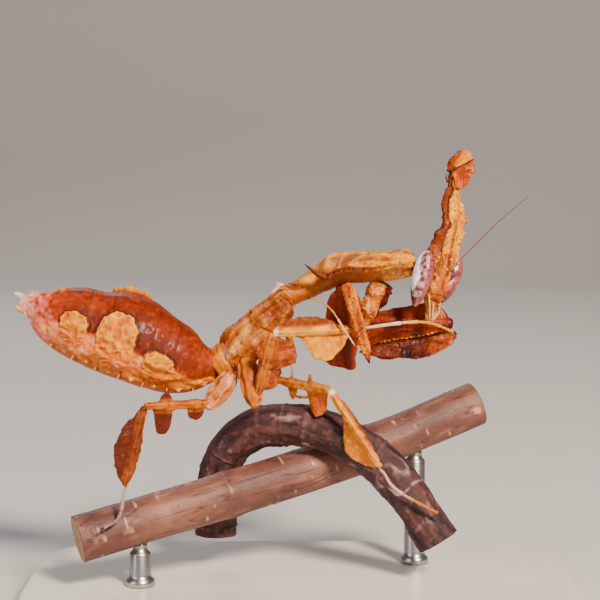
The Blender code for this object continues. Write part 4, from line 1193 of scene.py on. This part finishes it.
heading = over_rows(long_at)
half_wide = over_rows(widths.max(1) / 2)
half_deep = over_rows(widths[row, (widths.argmax(1) + 36) % 72] / 2)
mids = [over_rows(((high_side + low_side) / 2)[:, k]) for k in (0, 36)]
centre = axis + mids[0][:, None] * right_way + mids[1][:, None] * front_way
wide_way = np.cos(heading)[:, None] * right_way + np.sin(heading)[:, None] * front_way
wide_way = wide_way * np.sign((wide_way @ -right_way).mean())
deep_way = np.cross(run, wide_way)
to_front = np.sign((deep_way @ front_way).mean())
turn = whole_turn(columns)
S, T = s[:, None], turn[None]
# Sharing out the height: the part sunk in the head, the blade proper, then a rolled tip lobe that overlaps it
# from `lobe_from` up.
sunk = 0.155
share = (S - sunk) / (1 - sunk)
lobe_from, fold_at = 0.585, 0.84
cos, sin = np.cos(T), np.sin(T)
round_off = rounding((S - 0.93) / 0.072, 0.004)
notch = 0.05 * np.abs(((share * 19) % 1) - 0.4) + 0.05 * np.sin(share * 43)
left_edge = (1 + 0.30 * step_up(0.08 - share, 0.0, 0.2) - 0.20 * bell(share - 0.24, 0.12)
             + 0.02 * np.sin(share * 60) - 0.20 * bell(share - 0.66, 0.05))
right_edge = (1 + 0.24 * bell(share - 0.27, 0.07) + 0.05 * np.sin(share * 50)
              - 0.34 * bell(share - 0.58, 0.085) + 0.14 * bell(share - 0.82, 0.07))
edge_reach = np.where(cos > 0, right_edge, left_edge)
X = np.sign(cos) * np.abs(cos) ** 0.8 * half_wide[:, None] * edge_reach * round_off
X = X - np.sign(cos) * notch * np.abs(cos) ** 8 * (share > 0.02)
# The section is an uneven roof: a midrib towards the right edge of the crown, and thin edges.
ridge_at = (-0.66 + 0.18 * share) * half_wide[:, None]
slope = np.where(X > ridge_at, (X - ridge_at) / (half_wide[:, None] * 1.15 - ridge_at),
                 (ridge_at - X) / (half_wide[:, None] * 1.05 + ridge_at))
roof = held(1 - held(slope)) ** 0.9
deep = half_deep[:, None]
front_z = (0.10 + 1.25 * deep * roof) * np.abs(sin) ** 0.3
back_z = (0.07 + 0.45 * deep * (1 - np.abs(cos) ** 2)) * np.abs(sin) ** 0.4
in_front = sin * to_front > 0
Z = to_front * np.where(in_front, front_z, -back_z) * round_off
Z = Z + to_front * 0.30 * deep * np.abs(cos) ** 2 * step_up(share, 0.1, 0.4) * (cos > 0)
body = centre[:, None] + wide_way[:, None] * X[..., None] + deep_way[:, None] * Z[..., None]
out = outward(body)
big, mid = cloud(body * (1, 1, 0.6), 0.9, 81), cloud(body * (1, 1, 0.7), 0.36, 82)
fine = cloud(body, 0.15, 83)
cross_vein = np.abs(np.sin(math.pi * (share * 15 + 1.3 * np.abs(X) + 0.3 * mid))) ** 9
# The lobe hangs to a point near the midrib; to the left of it the blade goes on up behind the lobe.
hang = share - lobe_from - 0.17 * step_up(-X / half_wide[:, None], 0.15, 0.8) - 0.02 * X
# Under the lobe's lower edge the surface dips, and a dark line is painted there as shadow of the overhang.
shaded_lobe_lip = bell(hang, 0.013)
rolled = step_up(hang, 0, 0.025)
# Below the cap runs a raised crease whose dark line is painted shade in the fold.
crease = bell(share - fold_at - 0.10 * X, 0.014)
cap = step_up(share - 0.10 * X, fold_at, fold_at + 0.02)
lift = (0.06 * mid + 0.025 * fine + 0.03 * cross_vein + 0.05 * bell(X - ridge_at, 0.09) * (1 + mid)
        + 0.17 * rolled * (1 - 0.5 * step_up(share, lobe_from, fold_at)) + 0.10 * (cap + crease - shaded_lobe_lip))
grid = body + out * (lift * step_up(1 - S, 0, 0.03))[..., None]
pale_side = step_up(X - ridge_at, -0.02, 0.07)
rimmed = np.abs(cos) > 0.985
foot_stripes = 1 - step_up(share, 0.10, 0.42)
paint = layered(
    "#8c3a0b", (0.5 + 0.8 * big, "#a8501a"), (0.5 * step_up(mid, 0.2, 0.6), "#c0682c"),
    (pale_side, "#e59a4c"), (pale_side * held(0.5 + mid), "#fbc985"),
    (0.6 * pale_side * held(-mid) * 1.5, "#b8682b"), (0.5 * cross_vein * pale_side, "#ffe2ae"),
    (0.75 * bell(X - ridge_at + 0.04, 0.06) * (1 - rolled), "#74290a"),
    (0.8 * foot_stripes * bell(X - 0.10 + 0.1 * mid, 0.24), "#9c4c18"),
    (0.6 * foot_stripes * bell(np.abs(X - 0.10) - 0.48, 0.12), "#f2a356"), (rolled, "#c25a02"),
    (rolled * held(0.3 + mid), "#f08c1c"),
    (0.5 * rolled * np.abs(np.sin(math.pi * (3.4 * X + 9 * share + 0.4 * mid))) ** 8, "#7c3210"),
    (0.7 * rolled * step_up(-X, 0.35, 0.75), "#8a3a10"), (0.5 * rolled * step_up(-mid, 0.2, 0.6), "#9c4512"),
    (cap, "#ea9440"), (0.6 * cap * held(mid + 0.2), "#ffc880"),
    # Among the last layers: dark brown painted shadow under the lobe's lower edge and painted shade along the
    # crease below the cap.
    (0.85 * cap * step_up(-X / half_wide[:, None], 0.25, 0.75), "#b0501a"), (0.9 * shaded_lobe_lip, "#6f240b"),
    (0.85 * crease, "#6f240b"), (0.8 * rimmed, "#74270b"),
    (0.75 * step_up(fine + mid, 0.70, 1.0), "#7b2e10"))
skin("crown_skin", grid, paint, plate_skin, ["crown"])
root = grid[int(rows * (sunk + 0.64 * (1 - sunk))), columns // 2]
claw("crown_spine", root, root + (-0.15, 0, 0.75), (-0.06, 0, 0), 0.09, "#8c3a0b")

# --- Feelers ------------------------------------------------------------------------------------------------
# Two hair-thin antennae of beaded rings, each on a thicker root joint.

for name, heading, thick, far_colour in (
        ("antenna_left", box("antenna_left")[1] - box("antenna_left")[0], 0.062, "#54434c"),
        ("antenna_right", (0.1, 0.05, 1), 0.05, "#9a5a33")):
    path, _ = centreline(name, spot(name, 0.5, 0.5, 0.5), heading, 0.3, 0.7, 4)
    if path[0][2] > path[-1][2]:
        path = path[::-1]
    centres, along = resampled(np.concatenate([[path[0] - unit(path[2] - path[0]) * 0.55], path]), 260)
    centres, along = smoothed(centres, 12), along[:, None]
    s = np.linspace(0, 1, 260)[:, None]
    beads = np.abs(np.sin(along * math.pi / 0.24))
    size = np.maximum(thick * (1 - 0.72 * s) * (1 + 0.18 * beads), 0.17 * bell(along - 0.35, 0.3))
    feeler, _ = tube(centres, (0, 1, 0.1), size, whole_turn(14))
    paint = layered(
        "#b57652", (step_up(s, 0.10, 0.4), "#8c5c4c"), (step_up(s, 0.55, 0.9), far_colour),
        (0.5 * beads ** 8, "#e6bf9c"))
    skin(name + "_skin", feeler, paint, plate_skin, [name])

# --- Forelegs -----------------------------------------------------------------------------------------------
# The two catching legs: a long smooth coxa, a deep bladed thigh, a shorter shin that folds on it and ends in
# a hooked claw, and a thread-like foot. A comb of teeth stands along the edge where thigh and shin meet.

# The left shin's lighter colour, #8c5248, is a painted purple-grey sheen, laid in blotches and on its warts
# and edges.
FORE_LOOKS = {"right": dict(coxa=("#b9602f", "#e09a60", "#84391b"), femur=("#8a2a10", "#b0451f", "#5c160a"),
                            tibia=("#b9552a", "#eda36c", "#7c2e12"), foot=("#e6cbb4", "#cf9f74", "#9c6a48")),
              "left": dict(coxa=("#6a1709", "#8c2a12", "#430904"), femur=("#86240a", "#a8400f", "#5b1006"),
                           tibia=("#5c2620", "#8c5248", "#381418"), foot=("#9c4a26", "#8c3c1c", "#6c2c12"))}


def horn_look(base, light, dark, warts, marks=0.0, painted_light=0.0, lower_edge=None):
    """The finish of a foreleg's piece: smooth glossy horn with a row of warts along each edge. marks adds
    pale spots near the hip, the glow setting a painted pool of orange light towards the knee, lower_edge a
    colour along that edge."""
    def look(S, Z, beyond, edge, noises, shaft):
        big, mid, fine = noises
        wart = held(np.sin(2 * math.pi * S * warts)) ** 2 * bell(np.abs(Z) - 0.62 * shaft, 0.17 * shaft)
        rough = (warts > 0) * (1 - step_up(S, 0.85, 1.0))
        lift = 0.03 * mid + (0.015 + 0.035 * rough) * fine + 0.075 * wart
        pale = marks * step_up(mid + 0.4 * fine, 0.10, 0.50) * (1 - step_up(S, 0.35, 0.60))
        below = step_up(-Z, 0.2 * shaft, 0.8 * shaft) * (1 - step_up(S, 0.20, 0.42)) if lower_edge else 0 * Z
        paint = layered(
            base, (0.45 + 0.9 * big, light), (0.45 * held(-big - 0.1), dark),
            # A painted pool of orange light towards the knee.
            (0.8 * painted_light * step_up(S, 0.25, 0.7) * (1 - step_up(S, 0.86, 0.93)), "#b9500f"),
            (below * (0.8 + 0.4 * mid), lower_edge or base), (0.8 * wart, light), (0.7 * edge, light),
            (0.5 * rough * step_up(fine, 0.1, 0.5), light), (0.5 * step_up(-fine, 0.3, 0.7), dark),
            (0.7 * pale, "#f0cdb8"), (0.7 * step_up(S, 0.93, 1.0), dark))
        return lift, paint
    return look


for side_name, looks in FORE_LOOKS.items():
    coxa, femur, tibia, tarsus = (f"fore_{side_name}_{piece}"
                                  for piece in ("coxa", "femur", "tibia", "tarsus"))
    left = side_name == "left"
    hip_joint = joint_between(coxa, femur)
    shoulder = far_end(coxa, hip_joint)
    shoulder = shoulder + unit(shoulder - hip_joint) * 0.55
    thigh_start = near_ring(femur, hip_joint)
    knee = far_end(femur, thigh_start)
    thigh_way = unit(knee - thigh_start)
    wrist_near = near_ring(tibia, knee)
    wrist = far_end(tibia, wrist_near)
    shin_way = unit(wrist - wrist_near)
    # The coxa is stoutest at the shoulder.
    shoulder_side = np.linspace(1, 0, 150)[:, None] ** 1.3
    leaf_limb(coxa, shoulder, hip_joint, lobe_direction(coxa, shoulder, hip_joint, (1, 0, -1)),
              0.82 + 0.25 * shoulder_side if left else 0.50 + 0.62 * shoulder_side, (0.7, 0.42),
              horn_look(*looks["coxa"], 9, marks=0.0 if left else 1.0), seed=31)
    # The left thigh's blade is drawn down to the shin it is folded on, whose own blade is as deep.
    thigh_down = lobe_direction(femur, thigh_start, knee, (0.5, 0, -1))
    share = np.linspace(0, 1, 230)[:, None]
    # The left thigh gets a painted pool of orange light towards its knee.
    thigh = leaf_limb(femur, thigh_start - thigh_way * 0.35, knee + thigh_way * 0.2, thigh_down, 0.60,
                      (0.45, 0.5), horn_look(*looks["femur"], 0, painted_light=1.0 if left else 0.0), rows=230,
                      columns=110, blade=0.34, ruffle=0.0, teeth=(10, 0.0), seed=33,
                      passes=90, slim=(1.0 + (0.22 * np.sin(math.pi * share) if left else 0.06), 1.0))
    shin_down = lobe_direction(tibia, wrist_near, wrist, (1, 0, -1))
    share = np.linspace(0, 1, 200)[:, None]
    shin = leaf_limb(tibia, wrist_near - shin_way * 0.2, wrist, shin_down, 0.48 if left else 0.43,
                     (0.42, 0.20), horn_look(*looks["tibia"], 17, lower_edge="#c9662c" if left else None),
                     rows=200, blade=0.30, ruffle=0.0, teeth=(10, 0.0), seed=35,
                     slim=(1.0 + (bell(share - 0.45, 0.28) if left else 0.0), 1.0))
    foot_start = near_ring(tarsus, wrist)
    toe = far_end(tarsus, foot_start)
    foot(tarsus, spot(tarsus, 0.5, 0.5, 0.5), toe, looks["foot"], unit(toe - foot_start),
         0.13 if left else 0.09, 0.7)
    # A comb of fine teeth: on the left along the upper inner edge of the folded shin, over the thigh, and on
    # the right along the lower inner edge of the thigh, over the gripped leg.
    if left:
        edge, way, thick, colour = shin[:, 15], thigh_down * 0.60 + (0, -0.22, 0), 0.13, "#f0c090"
    else:
        edge, way, thick, colour = thigh[:, 77], thigh_down * 0.25 + (0, 0.22, 0), 0.07, "#8c4a26"
    for number in range(14):
        root = edge[int(len(edge) * (0.20 + 0.045 * number))] - thigh_down * 0.12
        root = root + (0, -0.10 if left else 0.10, 0)
        claw(f"{femur}_tooth_{number + 1}", root, root + way, (0, 0, 0), thick, colour)
    claw(tibia + "_claw", wrist - shin_way * 0.35, wrist + shin_way * 0.30, -thigh_way * 0.10, 0.17,
         "#4a150a")

# --- Floor, light and camera --------------------------------------------------------------------------------
# A plain pale table top under soft studio lamps, seen by a long lens from a little above the insect.

VIEW_TARGET = (0.0, 0.0, 0.026)
VIEW_DISTANCE = 0.14583
VIEW_RISE = math.radians(5)
FLOOR_HALF = 1.2
SWEEP_START = 0.35
SWEEP_RADIUS = 0.25


def paper_floor():
    """Matt paper: an even pale grey with a faint tooth of about 0.6 mm."""
    material, tree, place = new_material("matt_paper")
    tooth = add(tree, "TexNoise", {"Scale": 1600.0, "Detail": 2.0}, {"Vector": place})
    return finished(material, tree, {"Base Color": (*linear("#cfcbc8"), 1), "Roughness": 0.85}, {}, tooth,
                    0.05, 0.05)


# The table top runs back and then curves up into a wall, so no edge shows behind the model.
curve = np.linspace(0, math.pi / 2, 25)
run_back = np.concatenate([[-FLOOR_HALF], SWEEP_START + SWEEP_RADIUS * np.sin(curve),
                           [SWEEP_START + SWEEP_RADIUS]])
height = solid_box[0][2] + np.concatenate([[0], SWEEP_RADIUS * (1 - np.cos(curve)), [FLOOR_HALF]])
sweep = np.stack([np.stack([np.full(27, x), run_back, height], axis=-1) for x in (-FLOOR_HALF, FLOOR_HALF)])
number = np.arange(54).reshape(2, 27)
mesh = bpy.data.meshes.new("floor")
mesh.from_pydata(sweep.reshape(-1, 3).tolist(), [], np.stack(
    [number[0, :-1], number[1, :-1], number[1, 1:], number[0, 1:]], axis=-1).tolist())
mesh.polygons.foreach_set("use_smooth", np.ones(26, bool))
mesh.materials.append(paper_floor())
floor = bpy.data.objects.new("floor", mesh)
bpy.context.collection.objects.link(floor)


def aim(thing, place, target):
    """Puts a lamp or the camera at a place, looking at a target."""
    thing.location = place
    away = mathutils.Vector(place) - mathutils.Vector(target)
    thing.rotation_euler = away.to_track_quat("Z", "Y").to_euler()
    bpy.context.collection.objects.link(thing)


LAMPS = {"key_lamp": ((0.16, -0.30, 0.26), 0.09, 4.3, "#ffefdc"),
         "fill_lamp": ((-0.32, -0.20, 0.16), 0.26, 0.55, "#e9eeff"),
         "rim_lamp": ((-0.10, 0.30, 0.26), 0.18, 0.35, "#ffffff")}
for name, (place, size, power, colour) in LAMPS.items():
    data = bpy.data.lights.new(name, "AREA")
    data.shape, data.size, data.energy, data.color = "DISK", size, power, linear(colour)
    aim(bpy.data.objects.new(name, data), place, VIEW_TARGET)

world = bpy.data.worlds.new("studio")
world.use_nodes = True
sky = world.node_tree.nodes["Background"]
sky.inputs["Color"].default_value = (*linear("#c9c6cf"), 1)
sky.inputs["Strength"].default_value = 0.22
bpy.context.scene.world = world

lens = bpy.data.cameras.new("camera")
lens.lens, lens.sensor_width, lens.clip_start = 105.0, 36.0, 0.01
camera = bpy.data.objects.new("camera", lens)
aim(camera, (VIEW_TARGET[0], VIEW_TARGET[1] - VIEW_DISTANCE * math.cos(VIEW_RISE),
             VIEW_TARGET[2] + VIEW_DISTANCE * math.sin(VIEW_RISE)), VIEW_TARGET)
bpy.context.scene.camera = camera
